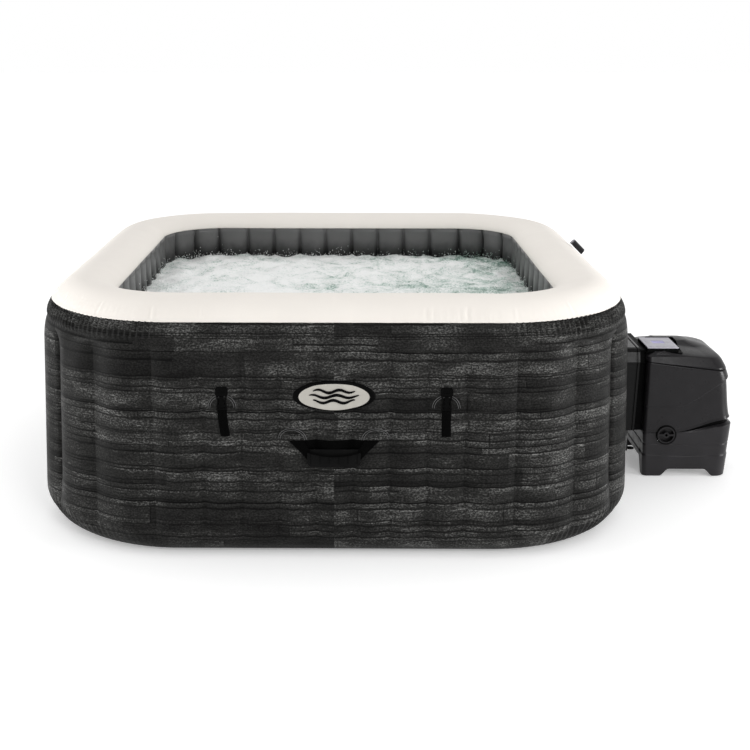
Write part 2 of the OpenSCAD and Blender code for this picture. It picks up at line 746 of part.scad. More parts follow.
module unit_pipes() {
    pump_in_y = volute_y + 17;
    color([0.22, 0.22, 0.23]) {
        tail(water_y[0], water_z, 18, 24, 1092);
        difference() {
            union() {
                elbow(pump_x, pump_in_y, water_z, 19);
                translate([pump_x, pump_in_y, pump_z + 40.05])
                    cylinder(r = 14, h = water_z - pump_z - 40.05, $fn = 48);
            }
            elbow(pump_x, pump_in_y, water_z, 15);
            translate([pump_x, pump_in_y, pump_z])
                cylinder(r = 10, h = water_z - pump_z, $fn = 48);
            translate([1060, water_y[0], water_z]) rotate([0, 90, 0])
                cylinder(r = 15, h = 50, $fn = 48);
        }
        pipe_x(pump_x + 40.05, heater_x - 21.05, pump_in_y, pump_z, 12, 3);
        tail(water_y[1], water_z, 18, 24, heater_x - 16);
        difference() {
            union() {
                elbow(heater_x, water_y[1], water_z, 19);
                translate([heater_x, water_y[1], pump_z + 21.05])
                    cylinder(r = 12, h = water_z - pump_z - 21.05, $fn = 48);
            }
            elbow(heater_x, water_y[1], water_z, 15);
            translate([heater_x, water_y[1], pump_z]) cylinder(r = 9, h = 90, $fn = 48);
            translate([heater_x - 60, water_y[1], water_z]) rotate([0, 90, 0])
                cylinder(r = 15, h = 60, $fn = 48);
        }
        tail(air_y, air_z, 12, 17, 1030);
        difference() {
            union() {
                elbow(1034, air_y, air_z, 13);
                translate([1034, air_y, 268]) cylinder(r = 12, h = air_z - 268, $fn = 48);
                translate([1034, air_y, 268]) rotate([0, 90, 0]) cylinder(r = 12, h = 23.9, $fn = 48);
                elbow(1034, air_y, 268, 12);
            }
            elbow(1034, air_y, air_z, 9);
            translate([1034, air_y, 268]) cylinder(r = 9, h = air_z - 268, $fn = 48);
            translate([1034, air_y, 268]) rotate([0, 90, 0]) cylinder(r = 9, h = 40, $fn = 48);
            translate([1010, air_y, air_z]) rotate([0, 90, 0]) cylinder(r = 9, h = 24, $fn = 48);
        }
    }
}

outer_wall();
top_rim();
inner_wall();
base_sheet();
internal_beams();
air_channel();
badge();
handle_patches();
front_handle_straps();
front_handle_grip();
back_handle_straps();
back_handle_grip();
buckle_patches();
buckle_webbing();
buckle_front_left();
buckle_front_right();
buckle_right_front();
buckle_right_back();
buckle_back_right();
buckle_back_left();
buckle_left_back();
buckle_left_front();
air_valve_hood();
air_valve_plug();
wall_fittings();
return_nozzle();
filter_housing();
filter_cartridge();
filter_cap();
coupling_seals();
water_in_nut();
water_out_nut();
air_nut();
unit_base();
unit_shell();
unit_top_cover();
unit_cowl();
rubber_feet();
unit_screws();
drain_port();
drain_cap();
cable_gland();
panel_body();
panel_face();
panel_lcd();
key_power();
key_heat();
key_filter();
key_bubbles();
key_up();
key_down();
pump_housing();
pump_motor();
pump_rotor();
heater_tube();
blower_housing();
blower_fan();
control_board();
unit_pipes();
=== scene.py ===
"""Looks of the inflatable hot tub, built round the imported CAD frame. Metres, +Z up."""
import json
import random
from math import atan, cos, hypot, pi, radians, sin

import bmesh
import bpy
import numpy as np
from mathutils import Matrix, Vector, noise


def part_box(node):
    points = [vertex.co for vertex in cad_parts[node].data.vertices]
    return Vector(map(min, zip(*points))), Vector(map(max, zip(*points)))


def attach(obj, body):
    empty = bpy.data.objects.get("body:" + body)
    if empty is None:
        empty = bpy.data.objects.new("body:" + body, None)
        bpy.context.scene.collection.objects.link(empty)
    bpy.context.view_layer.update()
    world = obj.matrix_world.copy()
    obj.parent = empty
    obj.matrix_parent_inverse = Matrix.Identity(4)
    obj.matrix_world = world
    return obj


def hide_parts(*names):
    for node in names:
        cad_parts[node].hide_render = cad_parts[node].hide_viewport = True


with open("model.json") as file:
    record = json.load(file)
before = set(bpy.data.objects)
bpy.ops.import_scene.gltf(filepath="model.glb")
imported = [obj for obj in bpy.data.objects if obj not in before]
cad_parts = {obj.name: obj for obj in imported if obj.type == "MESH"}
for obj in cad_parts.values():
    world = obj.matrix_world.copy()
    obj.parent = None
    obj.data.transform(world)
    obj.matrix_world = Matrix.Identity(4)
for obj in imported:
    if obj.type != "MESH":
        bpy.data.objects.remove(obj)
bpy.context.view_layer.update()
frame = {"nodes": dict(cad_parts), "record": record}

# ---- Camera ----
camera_data = bpy.data.cameras.new("camera")
camera_data.lens = 55.18
camera_data.sensor_width = 36
camera_data.shift_x = 0.0504
camera = bpy.data.objects.new("camera", camera_data)
camera.location = (0.0365, -3.7610, 1.3810)
camera.rotation_euler = (1.2827, 0, 0.0097)
bpy.context.collection.objects.link(camera)
bpy.context.scene.camera = camera

# ---- Driving dimensions, from the frame where it has them ----
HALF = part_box("outer_wall")[1].x
TUB_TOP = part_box("top_rim")[1].z
CORNER_R = 0.44
STRAIGHT = 2 * (HALF - CORNER_R)
QUARTER = STRAIGHT + CORNER_R * pi / 2
AROUND = 4 * QUARTER
FOOT_RX = 0.080
FOOT_RZ = 0.092
LEAN = 0.024
LEAN_Z = 0.571
LEAN_ANGLE = atan(LEAN / (LEAN_Z - FOOT_RZ))
CROWN_INSET = 0.141
SEAM_TURN = 37.2
SEAM_Z = 0.655
FOLD_Z = 0.607
BASE_WELD_Z = 0.046
CHAMBER = 0.234
RIM_EDGE_Z = 0.665
INNER_FOOT_R = 0.060
SKIN = 0.002
WATER_Z = 0.556
CREASE_PITCH = 0.1
CORNER_CREASES = (7, 32, 57, 83)
DEEP_CREASE = 57
VALVE_Y = 0.130


# ---- Small mathematics ----
def smooth(x, low, high):
    """0 below low, 1 above high, with a soft step between; works on arrays."""
    t = np.clip((x - low) / (high - low), 0, 1)
    return t * t * (3 - 2 * t)


def hump(x, middle, width):
    """A bell of height 1 at middle."""
    return np.exp(-((x - middle) / width) ** 2)


def wander(x, seed):
    """Slow irregular curve between -1 and 1, built from a few sines."""
    total = np.zeros_like(np.asarray(x, float))
    for k, pitch in enumerate((0.23, 0.37, 0.61, 0.97)):
        total = total + np.sin(2 * pi * np.asarray(x) / pitch + seed * (k + 1.7))
    return total / 4


# ---- Mesh helpers ----
def add_mesh(name, verts, faces, uvs=None, flat=False):
    mesh = bpy.data.meshes.new(name)
    mesh.from_pydata([tuple(v) for v in verts], [], [tuple(f) for f in faces])
    if uvs is not None:
        layer = mesh.uv_layers.new(name="metres")
        layer.data.foreach_set("uv", np.asarray(uvs, np.float32).ravel())
    mesh.polygons.foreach_set("use_smooth", [not flat] * len(mesh.polygons))
    obj = bpy.data.objects.new(name, mesh)
    bpy.context.collection.objects.link(obj)
    return obj


def finish_piece(obj, slot, replaced=(), body="root", material=None):
    """Gives a new piece its body and its material, the slot's look unless another is given, and hides the
    CAD nodes it stands for.
    """
    obj.data.materials.append(material or SLOT_LOOKS[slot])
    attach(obj, body)
    if replaced:
        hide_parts(*replaced)


def make_piece(name, part, slot, replaced=(), body="root", material=None, thickness=None, flat=False):
    """A finished piece from (verts, faces) or (verts, faces, uvs), thickened if it is an open skin."""
    obj = add_mesh(name, *part, flat=flat)
    if thickness:
        thicken(obj, thickness)
    finish_piece(obj, slot, replaced, body, material)
    return obj


def second_material(obj, material, chosen):
    """Gives the chosen faces, one flag per face, a second material."""
    obj.data.materials.append(material)
    obj.data.polygons.foreach_set("material_index", [int(flag) for flag in chosen])


def thicken(obj, depth):
    """Gives an open skin a thickness on its back."""
    solid = obj.modifiers.new("thickness", "SOLIDIFY")
    solid.thickness = depth
    solid.offset = -1


def round_edges(obj, width, segments=2, angle=35):
    bevel = obj.modifiers.new("edges", "BEVEL")
    bevel.width = width
    bevel.segments = segments
    bevel.limit_method = "ANGLE"
    bevel.angle_limit = radians(angle)
    obj.data.shade_smooth()
    normals = obj.modifiers.new("normals", "WEIGHTED_NORMAL")
    normals.keep_sharp = True


def edit_mesh(obj, change):
    """Runs change on the object's mesh, opened for editing."""
    mesh = bmesh.new()
    mesh.from_mesh(obj.data)
    change(mesh)
    mesh.to_mesh(obj.data)
    mesh.free()


def mend_normals(obj):
    edit_mesh(obj, lambda mesh: bmesh.ops.recalc_face_normals(mesh, faces=mesh.faces))


def keep_edges(obj):
    """Marks edges over 40 degrees as sharp, so the smooth shading stops there."""
    def mark(mesh):
        for edge in mesh.edges:
            edge.smooth = len(edge.link_faces) == 2 and edge.calc_face_angle(0) < radians(40)
    edit_mesh(obj, mark)


def grid_faces(columns, rows, closed):
    """Quads between the columns and rows of a grid stored column by column."""
    faces = []
    for i in range(columns if closed else columns - 1):
        k = (i + 1) % columns
        for j in range(rows - 1):
            faces.append((i * rows + j, k * rows + j, k * rows + j + 1, i * rows + j + 1))
    return faces


def grid_uvs(us, vs, span):
    """UVs for a closed grid: us per column, vs per row, the seam closed at us[0] + span."""
    uvs = []
    for u0, u1 in zip(us, [*us[1:], us[0] + span]):
        for v0, v1 in zip(vs, vs[1:]):
            uvs += [(u0, v0), (u1, v0), (u1, v1), (u0, v1)]
    return uvs


def join_parts(parts):
    """Joins (verts, faces) pairs into one list of each."""
    verts = []
    faces = []
    for part_verts, part_faces in parts:
        start = len(verts)
        verts += [tuple(v) for v in part_verts]
        faces += [tuple(start + k for k in f) for f in part_faces]
    return verts, faces


def prism(outline, depth0, depth1):
    """An outline in (x, z) drawn out along y from depth0 to depth1, closed."""
    count = len(outline)
    verts = [(x, depth0, z) for x, z in outline] + [(x, depth1, z) for x, z in outline]
    faces = [tuple(range(count)), tuple(range(2 * count - 1, count - 1, -1))]
    for i in range(count):
        k = (i + 1) % count
        faces.append((i, i + count, k + count, k))
    return verts, faces


def box_part(low, high):
    outline = [(low[0], low[2]), (high[0], low[2]), (high[0], high[2]), (low[0], high[2])]
    return prism(outline, low[1], high[1])


def placed(matrix, part):
    verts, faces = part
    return [tuple(matrix @ Vector(v)) for v in verts], faces


# ---- The tub's plan and section ----
def perimeter(s):
    """Point and outward normal of the plan at distance s from the middle of the front side."""
    place = np.asarray(s, float) + STRAIGHT / 2
    side = np.floor(place / QUARTER)
    local = place - side * QUARTER
    turn = np.clip((local - STRAIGHT) / CORNER_R, 0, pi / 2)
    x = np.minimum(local, STRAIGHT) - STRAIGHT / 2 + CORNER_R * np.sin(turn)
    y = -(HALF - CORNER_R) - CORNER_R * np.cos(turn)
    nx = np.sin(turn)
    ny = -np.cos(turn)
    c = np.cos(side * pi / 2)
    d = np.sin(side * pi / 2)
    return c * x - d * y, d * x + c * y, c * nx - d * ny, d * nx + c * ny


def corner_share(s):
    """0 on a straight side, 1 at the middle of a corner."""
    place = np.asarray(s, float) + STRAIGHT / 2
    local = place - np.floor(place / QUARTER) * QUARTER
    return np.sin(np.clip((local - STRAIGHT) / CORNER_R, 0, pi / 2) * 2)


def corner_place(corner, angle):
    """Perimeter place at an angle round a corner, counted from the front or back side."""
    turned = angle if corner % 2 == 0 else 90 - angle
    return corner * QUARTER + STRAIGHT / 2 + CORNER_R * radians(turned)


def crease_places():
    """Perimeter places of the weld lines, where the webs inside hold the walls."""
    places = []
    for side in range(4):
        places += [side * QUARTER + (k + 0.5) * CREASE_PITCH for k in range(-4, 4)]
        places += [corner_place(side, a) for a in CORNER_CREASES]
    return np.array(sorted(p % AROUND for p in places))


CREASES = crease_places()
DEEP_PLACES = [corner_place(k, DEEP_CREASE) for k in range(4)]


def lobe(s):
    """Width of the lobe at s and the place across it, from -1 to 1."""
    s = np.mod(np.asarray(s, float), AROUND)
    edges = np.concatenate(([CREASES[-1] - AROUND], CREASES, [CREASES[0] + AROUND]))
    right = np.searchsorted(edges, s, side="right")
    low = edges[right - 1]
    width = edges[right] - low
    return width, 2 * (s - low) / width - 1


def samples(coarse, corner):
    """Perimeter places: coarse on the sides, finer on the corners and beside the weld lines."""
    found = []
    s = 0.0
    while s < AROUND:
        found.append(s)
        s += coarse + (corner - coarse) * float(corner_share(s) > 0)
    for crease in CREASES:
        found += [crease + d for d in (-0.010, -0.006, -0.003, -0.001, 0.001, 0.003, 0.006, 0.010)]
    found = sorted(f % AROUND for f in found)
    kept = [found[0]]
    for f in found[1:]:
        if f - kept[-1] > 0.0008:
            kept.append(f)
    return np.array(kept)


def arc(middle, height, rx, rz, start, end, steps):
    """Section rows (inset, height, outward, up) along an ellipse, angles in degrees."""
    rows = []
    for i in range(steps + 1):
        a = radians(start + (end - start) * i / steps)
        nx = cos(a) / rx
        nz = sin(a) / rz
        size = hypot(nx, nz)
        rows.append((middle + rx * cos(a), height + rz * sin(a), -nx / size, nz / size))
    return rows


def outer_inset(z):
    return LEAN * (z - FOOT_RZ) / (LEAN_Z - FOOT_RZ)


def travel(rows):
    """Length along the section at each row."""
    steps = [hypot(b[0] - a[0], b[1] - a[1]) for a, b in zip(rows, rows[1:])]
    return np.concatenate(([0], np.cumsum(steps)))


def skin(name, rows, places, stand_off, slot, replaced, material=None):
    """A welded skin once round the tub; stand_off(s, z, v) moves it along its own normal."""
    inset, height, out, up = (np.array(column) for column in zip(*rows))
    length = travel(rows)
    px, py, nx, ny = (a[:, None] for a in perimeter(places))
    d = stand_off(places[:, None], height[None, :], length[None, :])
    x = px - nx * inset + nx * out * d
    y = py - ny * inset + ny * out * d
    z = height + up * d
    verts = np.stack([x, y, z + 0 * x], axis=-1).reshape(-1, 3)
    faces = grid_faces(len(places), len(rows), True)
    part = (verts, faces, grid_uvs(places, length, AROUND))
    make_piece(name, part, slot, [replaced], material=material, thickness=SKIN)


# ---- Outer wall ----
def lean_rows(low, high, steps):
    heights = np.linspace(low, high, steps + 1)[1:-1]
    out = cos(LEAN_ANGLE)
    up = sin(LEAN_ANGLE)
    return [(outer_inset(z), z, out, up) for z in heights]


SHOULDER_RX = CROWN_INSET - LEAN
SHOULDER_RZ = TUB_TOP - LEAN_Z
OUTER_ROWS = (
    arc(FOOT_RX, FOOT_RZ, FOOT_RX, FOOT_RZ, 270, 180, 20)
    + lean_rows(FOOT_RZ, LEAN_Z, 26)
    + arc(CROWN_INSET, LEAN_Z, SHOULDER_RX, SHOULDER_RZ, 180, 180 - SEAM_TURN, 18)
)
FOOT_LENGTH = travel(OUTER_ROWS)[20]


def wall_stand_off(s, z, v=None):
    """Lobes between the weld lines, the fold under the seam, and the puckers at the corners."""
    width, across = lobe(s)
    depth = 0.006 + 0.062 * width
    height_share = smooth(z, 0.015, 0.11) * (1 - smooth(z, FOLD_Z - 0.05, FOLD_Z + 0.004))
    lobes = height_share * depth * (0.36 - across ** 2)
    deep = sum(hump(s, place, 0.011) + 0.40 * hump(s, place, 0.040) for place in DEEP_PLACES)
    lobes = lobes - 0.015 * deep * smooth(z, 0.09, 0.20) * (1 - smooth(z, 0.545, 0.60))
    round_corner = corner_share(s)
    fold = -0.0050 * hump(z, FOLD_Z, 0.006) * (0.75 + 0.25 * round_corner)
    band = 0.0012 * hump(z, FOLD_Z + 0.02, 0.016)
    base_weld = -0.0016 * hump(z, BASE_WELD_Z, 0.004)
    beat = 0.5 + 0.5 * wander(s * 1.3, 3)
    foot_ripple = np.sin(2 * pi * s / 0.0195 + 1.6 * wander(s, 1) + 14 * z)
    foot = 0.0027 * foot_ripple * round_corner * beat * hump(z, 0.05, 0.034)
    seam_ripple = np.sin(2 * pi * s / 0.0185 + 2.2 * wander(s, 5))
    share = np.clip(round_corner + 0.10, 0, 1) * (0.55 + 0.45 * wander(s * 1.7, 7))
    seam = 0.0075 * seam_ripple * share * smooth(z, SEAM_Z - 0.056, SEAM_Z - 0.018)
    return lobes + fold + band + base_weld + foot + seam


# ---- Rim and inner wall ----
RIM_ROWS = (
    arc(CROWN_INSET, LEAN_Z, SHOULDER_RX, SHOULDER_RZ, 180 - SEAM_TURN, 90, 26)
    + arc(CROWN_INSET, RIM_EDGE_Z, CHAMBER - CROWN_INSET, TUB_TOP - RIM_EDGE_Z, 90, 0, 20)[1:]
)
RIM_JOINT = STRAIGHT / 2 - 0.006
VALVE_WELD = QUARTER + VALVE_Y - 0.07


def rim_stand_off(s, z, v):
    """Welted lower edge, slack between the webs, and the weld lines across the rim."""
    width, across = lobe(s)
    welt = 0.0022 * (1 - smooth(v, 0.003, 0.006))
    near_seam = 1 - smooth(v, 0.012, 0.055)
    slack = 0.0014 * near_seam * (0.4 - across ** 2)
    swell = 0.0012 * wander(s * 0.6, 2) * smooth(v, 0.02, 0.1)
    patchy = smooth(wander(s * 0.9, 8), -0.1, 0.5)
    patchy = np.maximum(patchy, corner_share(s))
    ripple = 0.0011 * np.sin(2 * pi * s / 0.021 + 2 * wander(s, 4)) * patchy
    wrinkles = ripple * smooth(v, 0.004, 0.012) * (1 - smooth(v, 0.03, 0.06))
    nick = -0.0013 * hump(s, RIM_JOINT, 0.0022) * (1 - smooth(v, 0.035, 0.05))
    weld = -0.0006 * hump(s, VALVE_WELD + 0.5 * (v - 0.1) ** 2, 0.003) * smooth(v, 0.1, 0.12)
    return welt + slack + swell + wrinkles + nick + weld


def inner_rows():
    """Rows from the rim's inner edge down the wall and round its foot."""
    rows = [(CHAMBER, RIM_EDGE_Z, -1, 0)]
    foot_z = INNER_FOOT_R + 0.004
    rows += [(CHAMBER, z, -1, 0) for z in np.linspace(RIM_EDGE_Z, foot_z, 40)[1:-1]]
    for i in range(9):
        a = radians(180 + 90 * i / 8)
        c = cos(a)
        d = sin(a)
        rows.append((CHAMBER + INNER_FOOT_R + INNER_FOOT_R * c, foot_z + INNER_FOOT_R * d, c, -d))
    return rows


def inner_stand_off(s, z, v):
    """Pleats: nearly flat panels with deep narrow folds at the webs."""
    width, across = lobe(s)
    depth = 0.021 + 0.06 * (width - CREASE_PITCH)
    pinch = 0.30 + 0.70 * smooth(v, 0.0, 0.045)
    share = pinch * smooth(z, 0.03, 0.12)
    panel = 0.0030 - depth * (0.50 * across ** 2 + 0.75 * np.abs(across) ** 8)
    ripple = 0.0007 * np.sin(2 * pi * s / 0.024 + 2 * wander(s, 9)) * (1 - smooth(v, 0.01, 0.06))
    return share * panel + ripple


# ---- Node helpers ----
class Graph:
    """A node tree; each method adds one node and returns its output."""

    def __init__(self, tree):
        self.tree = tree

    def fill(self, node, values):
        """Links or sets a node's inputs, given by name or number."""
        for key, value in values.items():
            if hasattr(value, "is_output"):
                self.tree.links.new(value, node.inputs[key])
            elif value is not None:
                node.inputs[key].default_value = value

    def add(self, kind, values=(), **settings):
        made = self.tree.nodes.new("ShaderNode" + kind)
        for key, value in settings.items():
            setattr(made, key, value)
        self.fill(made, dict(values))
        return made

    def place(self):
        return self.add("TexCoord").outputs["Object"]

    def metres(self):
        return self.add("UVMap", uv_map="metres").outputs["UV"]

    def math(self, operation, *values):
        return self.add("Math", enumerate(values), operation=operation).outputs[0]

    def times(self, a, b):
        return self.math("MULTIPLY", a, b)

    def times_add(self, a, b, c):
        return self.math("MULTIPLY_ADD", a, b, c)

    def split(self, vector):
        return self.add("SeparateXYZ", {0: vector}).outputs[:]

    def vector(self, x, y):
        return self.add("CombineXYZ", {0: x, 1: y}).outputs[0]

    def noise(self, vector, scale, detail=3.0, roughness=0.55, distortion=0.0):
        """Noise; a tuple of scales, one per axis, stretches it."""
        if isinstance(scale, tuple):
            stretch = (*scale, 1.0)[:3]
            vector = self.add("Mapping", {"Vector": vector, "Scale": stretch}).outputs[0]
            scale = 1.0
        return self.add("TexNoise", {"Vector": vector, "Scale": scale, "Detail": detail,
                                     "Roughness": roughness, "Distortion": distortion}).outputs[0]

    def voronoi(self, vector, scale, feature="F1", randomness=1.0):
        values = {"Vector": vector, "Scale": scale, "Randomness": randomness}
        return self.add("TexVoronoi", values, feature=feature).outputs["Distance"]

    def chance(self, vector):
        return self.add("TexWhiteNoise", {"Vector": vector}, noise_dimensions="2D").outputs["Value"]

    def step(self, value, low, high, to_low=0.0, to_high=1.0, kind="SMOOTHSTEP"):
        values = {"Value": value, "From Min": low, "From Max": high, "To Min": to_low, "To Max": to_high}
        return self.add("MapRange", values, interpolation_type=kind, clamp=True).outputs[0]

    def ramp(self, value, *stops):
        """Colour ramp; each stop is (place, colour)."""
        made = self.add("ValToRGB", {0: value})
        elements = made.color_ramp.elements
        while len(elements) < len(stops):
            elements.new(0.5)
        for element, (where, colour) in zip(elements, stops):
            element.position = where
            element.color = (*colour, 1)
        return made.outputs[0]

    def blend(self, value, low, high):
        return self.ramp(value, (0.3, low), (0.7, high))


class Look(Graph):
    """A material built from nodes round its shader."""

    def __init__(self, name, roughness=0.5, specular=0.5, **constants):
        self.material = bpy.data.materials.new(name)
        self.material.use_nodes = True
        super().__init__(self.material.node_tree)
        self.shader = self.tree.nodes["Principled BSDF"]
        self.fill(self.shader, {"Roughness": roughness, "Specular IOR Level": specular})
        self.fill(self.shader, {key.replace("_", " "): value for key, value in constants.items()})

    def bumped(self, height, strength, distance):
        """Adds a bump on top of the ones before it."""
        links = self.shader.inputs["Normal"].links
        below = links[0].from_socket if links else None
        values = {"Height": height, "Strength": strength, "Distance": distance, "Normal": below}
        self.fill(self.shader, {"Normal": self.add("Bump", values).outputs[0]})

    def colour(self, value):
        self.fill(self.shader, {"Base Color": value})

    def rough(self, value):
        self.fill(self.shader, {"Roughness": value})


def grey(value, tint=(1.0, 1.0, 1.0)):
    return tuple(value * t for t in tint)


# ---- Materials ----
def wavy_height(look, flat, v):
    """Height on the print, bent so that the strips wander and thin out."""
    level = look.times_add(look.noise(flat, (3.2, 9), 2.0), 0.014, v)
    level = look.times_add(look.noise(flat, (22, 12), 2.0), 0.004, level)
    for pitch, size in ((47.0, 0.0085), (121.0, 0.0036)):
        level = look.times_add(look.math("SINE", look.times(level, pitch)), size, level)
    return level


def slate_strips(look, u, level, breaks, strip, length, seed, strength):
    """One layer of staggered strips: its tone, and the shadow of its edges and joints."""
    row_place = look.math("DIVIDE", level, strip)
    row = look.math("FLOOR", row_place)
    rise = look.math("FRACT", row_place)
    slide = look.chance(look.vector(row, seed))
    along = look.times_add(slide, 7.3, look.math("DIVIDE", u, length))
    plank = look.math("FLOOR", along)
    run = look.math("FRACT", along)
    tone = look.chance(look.vector(look.math("ADD", row, seed), plank))
    keep = look.chance(look.vector(plank, look.math("ADD", row, 2 * seed)))
    edge = 0.0034 / strip
    line = look.step(rise, edge * 0.8, edge * 1.5, strength, 0.0)
    shade = look.step(rise, 0.0, 0.42, 0.46 * strength, 0.0)
    line = look.times(look.math("MAXIMUM", line, shade), look.times(look.step(keep, 0.12, 0.30), breaks))
    joint = look.step(run, 0.0, 0.0036 / length, 1.0, 0.0)
    joint = look.times(joint, look.step(keep, 0.62, 0.66))
    lit = look.times(look.step(rise, 0.80, 0.97, 1.0, 1.45), look.step(keep, 0.5, 0.8))
    tone = look.times(look.step(tone, 0.0, 0.42, 0.58, 1.0), look.math("MAXIMUM", lit, 1.0))
    return tone, look.math("MAXIMUM", line, joint)


def printed_vinyl(name, tone):
    """Vinyl printed with thin staggered slate strips, dark joints and a granular speckle."""
    look = Look(name, 0.5, 0.045)
    flat = look.metres()
    u, v, _ = look.split(flat)
    level = wavy_height(look, flat, v)
    breaks = look.step(look.noise(flat, (4, 34), 2.0), 0.30, 0.44)
    wide, wide_shadow = slate_strips(look, u, level, breaks, 0.052, 0.66, 3.0, 1.0)
    thin, thin_shadow = slate_strips(look, u, level, breaks, 0.0215, 0.43, 11.0, 0.75)
    shadow = look.math("MAXIMUM", wide_shadow, thin_shadow)
    speckle = look.step(look.noise(flat, (165, 230), 3.0, 0.8), 0.42, 0.62)
    turned = {"Vector": flat, "Rotation": (0, 0, radians(-32)), "Scale": (70, 240, 1)}
    slanted = look.add("Mapping", turned).outputs[0]
    strokes = look.step(look.noise(slanted, 1.0, 3.0, 0.7, 0.6), 0.50, 0.72)
    streak = look.step(look.noise(flat, (16, 260), 4.0, 0.6), 0.35, 0.7)
    blotch = look.step(look.noise(flat, (9, 22)), 0.3, 0.7)
    grain = look.times_add(speckle, 0.95, 0.30)
    grain = look.times_add(look.times(strokes, blotch), 0.95, grain)
    grain = look.times_add(streak, 0.30, grain)
    tint = look.times(look.times(wide, thin), look.times_add(blotch, 0.55, 0.68))
    bright = look.times(grain, tint)
    unshaded = look.times_add(shadow, -0.93, 1.0)
    look.colour(look.ramp(look.times(look.times(bright, unshaded), 0.4),
                          (0.0, grey(0.0010 * tone)),
                          (0.35, grey(0.027 * tone, (1, 0.99, 0.95))),
                          (1.0, grey(0.215 * tone, (1, 1, 0.97)))))
    look.rough(look.step(bright, 0.2, 1.6, 0.48, 0.38))
    look.bumped(look.math("SUBTRACT", look.times(grain, 0.3), shadow), 0.3, 0.0006)
    return look.material


def soft_vinyl(name, low, high, roughness, specular, wrinkles=None, wet_and_shade_band=None):
    """Plain satin vinyl with a faint leather grain and fine slack wrinkles by the seams.

    The last argument gives two lengths down the skin. Above the first the vinyl keeps its tone. Below the
    second it is far darker: painted shade towards the water line, partly wet vinyl.
    """
    look = Look(name, roughness, specular)
    place = look.place()
    cloud = look.noise(place, 5.0, 3.0)
    tint = look.blend(cloud, low, high)
    if wet_and_shade_band:
        _, down, _ = look.split(look.metres())
        uneven = look.times_add(look.noise(place, 30.0, 3.0), 0.03, down)
        wet_and_shade_share = look.step(uneven, wet_and_shade_band[0] + 0.015, wet_and_shade_band[1] + 0.015)
        # Painted shade, partly wet darkening: below the band the tone drops to 8 % of its own.
        wet_and_shade_tint = (*(0.08 * c for c in low), 1)
        mixed = look.add("Mix", {0: wet_and_shade_share, 6: tint, 7: wet_and_shade_tint}, data_type="RGBA")
        tint = mixed.outputs[2]
    look.colour(tint)
    look.rough(look.step(look.noise(place, 34.0, 2.0), 0.3, 0.7, roughness - 0.04, roughness + 0.05))
    look.bumped(look.noise(place, 900.0, 2.0), 0.12, 0.0003)
    if wrinkles:
        flat = look.metres()
        _, v, _ = look.split(flat)
        folds = look.noise(flat, (85, 5), 2.0)
        patchy = look.step(look.noise(flat, (4.5, 3), 1.0), 0.46, 0.62)
        near = look.step(v, 0.0, 0.055, 1.0, 0.0)
        height = look.times(look.times(folds, patchy), near)
        look.bumped(height, 0.5, wrinkles)
    return look.material


def plastic(name, low, high, roughness, specular=0.5, grain=0.10, scale=1400.0):
    """Moulded plastic: slight cloudiness, fine spark-eroded grain and uneven gloss."""
    look = Look(name, roughness, specular)
    place = look.place()
    look.colour(look.blend(look.noise(place, 16.0, 4.0), low, high))
    gloss = look.noise(place, 42.0, 3.0)
    look.rough(look.step(gloss, 0.25, 0.75, roughness - 0.05, roughness + 0.06))
    look.bumped(look.noise(place, scale, 2.0), grain, 0.0003)
    return look.material


def woven(name, dark, light, pitch):
    """Ribbed nylon webbing."""
    look = Look(name, roughness=0.7, specular=0.012)
    x, y, z = look.split(look.place())
    across = look.math("SINE", look.times(look.math("ADD", x, y), 2 * pi / pitch))
    rows = look.math("SINE", look.times(z, 2 * pi / pitch))
    weave = look.times(across, rows)
    fuzz = look.noise(look.place(), 500.0, 3.0)
    look.colour(look.ramp(look.times_add(weave, 0.2, fuzz), (0.3, dark), (0.75, light)))
    look.bumped(weave, 0.5, 0.0004)
    return look.material


def brushed(name, colour, roughness):
    """Metal with fine lengthwise marks."""
    look = Look(name, roughness=roughness, Metallic=1.0)
    marks = look.noise(look.place(), (60, 2400, 60), 4.0)
    darker = tuple(0.8 * c for c in colour)
    look.colour(look.blend(marks, darker, colour))
    look.rough(look.step(marks, 0.3, 0.7, roughness - 0.06, roughness + 0.08))
    look.bumped(marks, 0.1, 0.0002)
    return look.material


def fibres(name, vector_scale, low, high, detail, fuzz, strength, distance, roughness):
    """Fleece or woven web: light and dark strands."""
    look = Look(name, roughness)
    strands = look.noise(look.place(), vector_scale, detail, fuzz)
    look.colour(look.blend(strands, low, high))
    look.bumped(strands, strength, distance)
    return look.material


def board():
    look = Look("board", roughness=0.4)
    tracks = look.voronoi(look.place(), 90.0, "DISTANCE_TO_EDGE", 0.0)
    look.colour(look.ramp(tracks, (0.03, (0.16, 0.34, 0.1)), (0.08, (0.012, 0.09, 0.045))))
    return look.material


def display():
    """Violet display with a faint cell grid."""
    look = Look("display_glass", roughness=0.22)
    x, y, _ = look.split(look.place())
    cells = look.times(look.math("SINE", look.times(x, 2600.0)),
                      look.math("SINE", look.times(y, 2600.0)))
    cloud = look.noise(look.place(), 30.0, 2.0)
    mixed = look.times_add(cells, 0.06, cloud)
    look.colour(look.ramp(mixed, (0.3, (0.20, 0.18, 0.42)), (0.7, (0.32, 0.29, 0.58))))
    return look.material


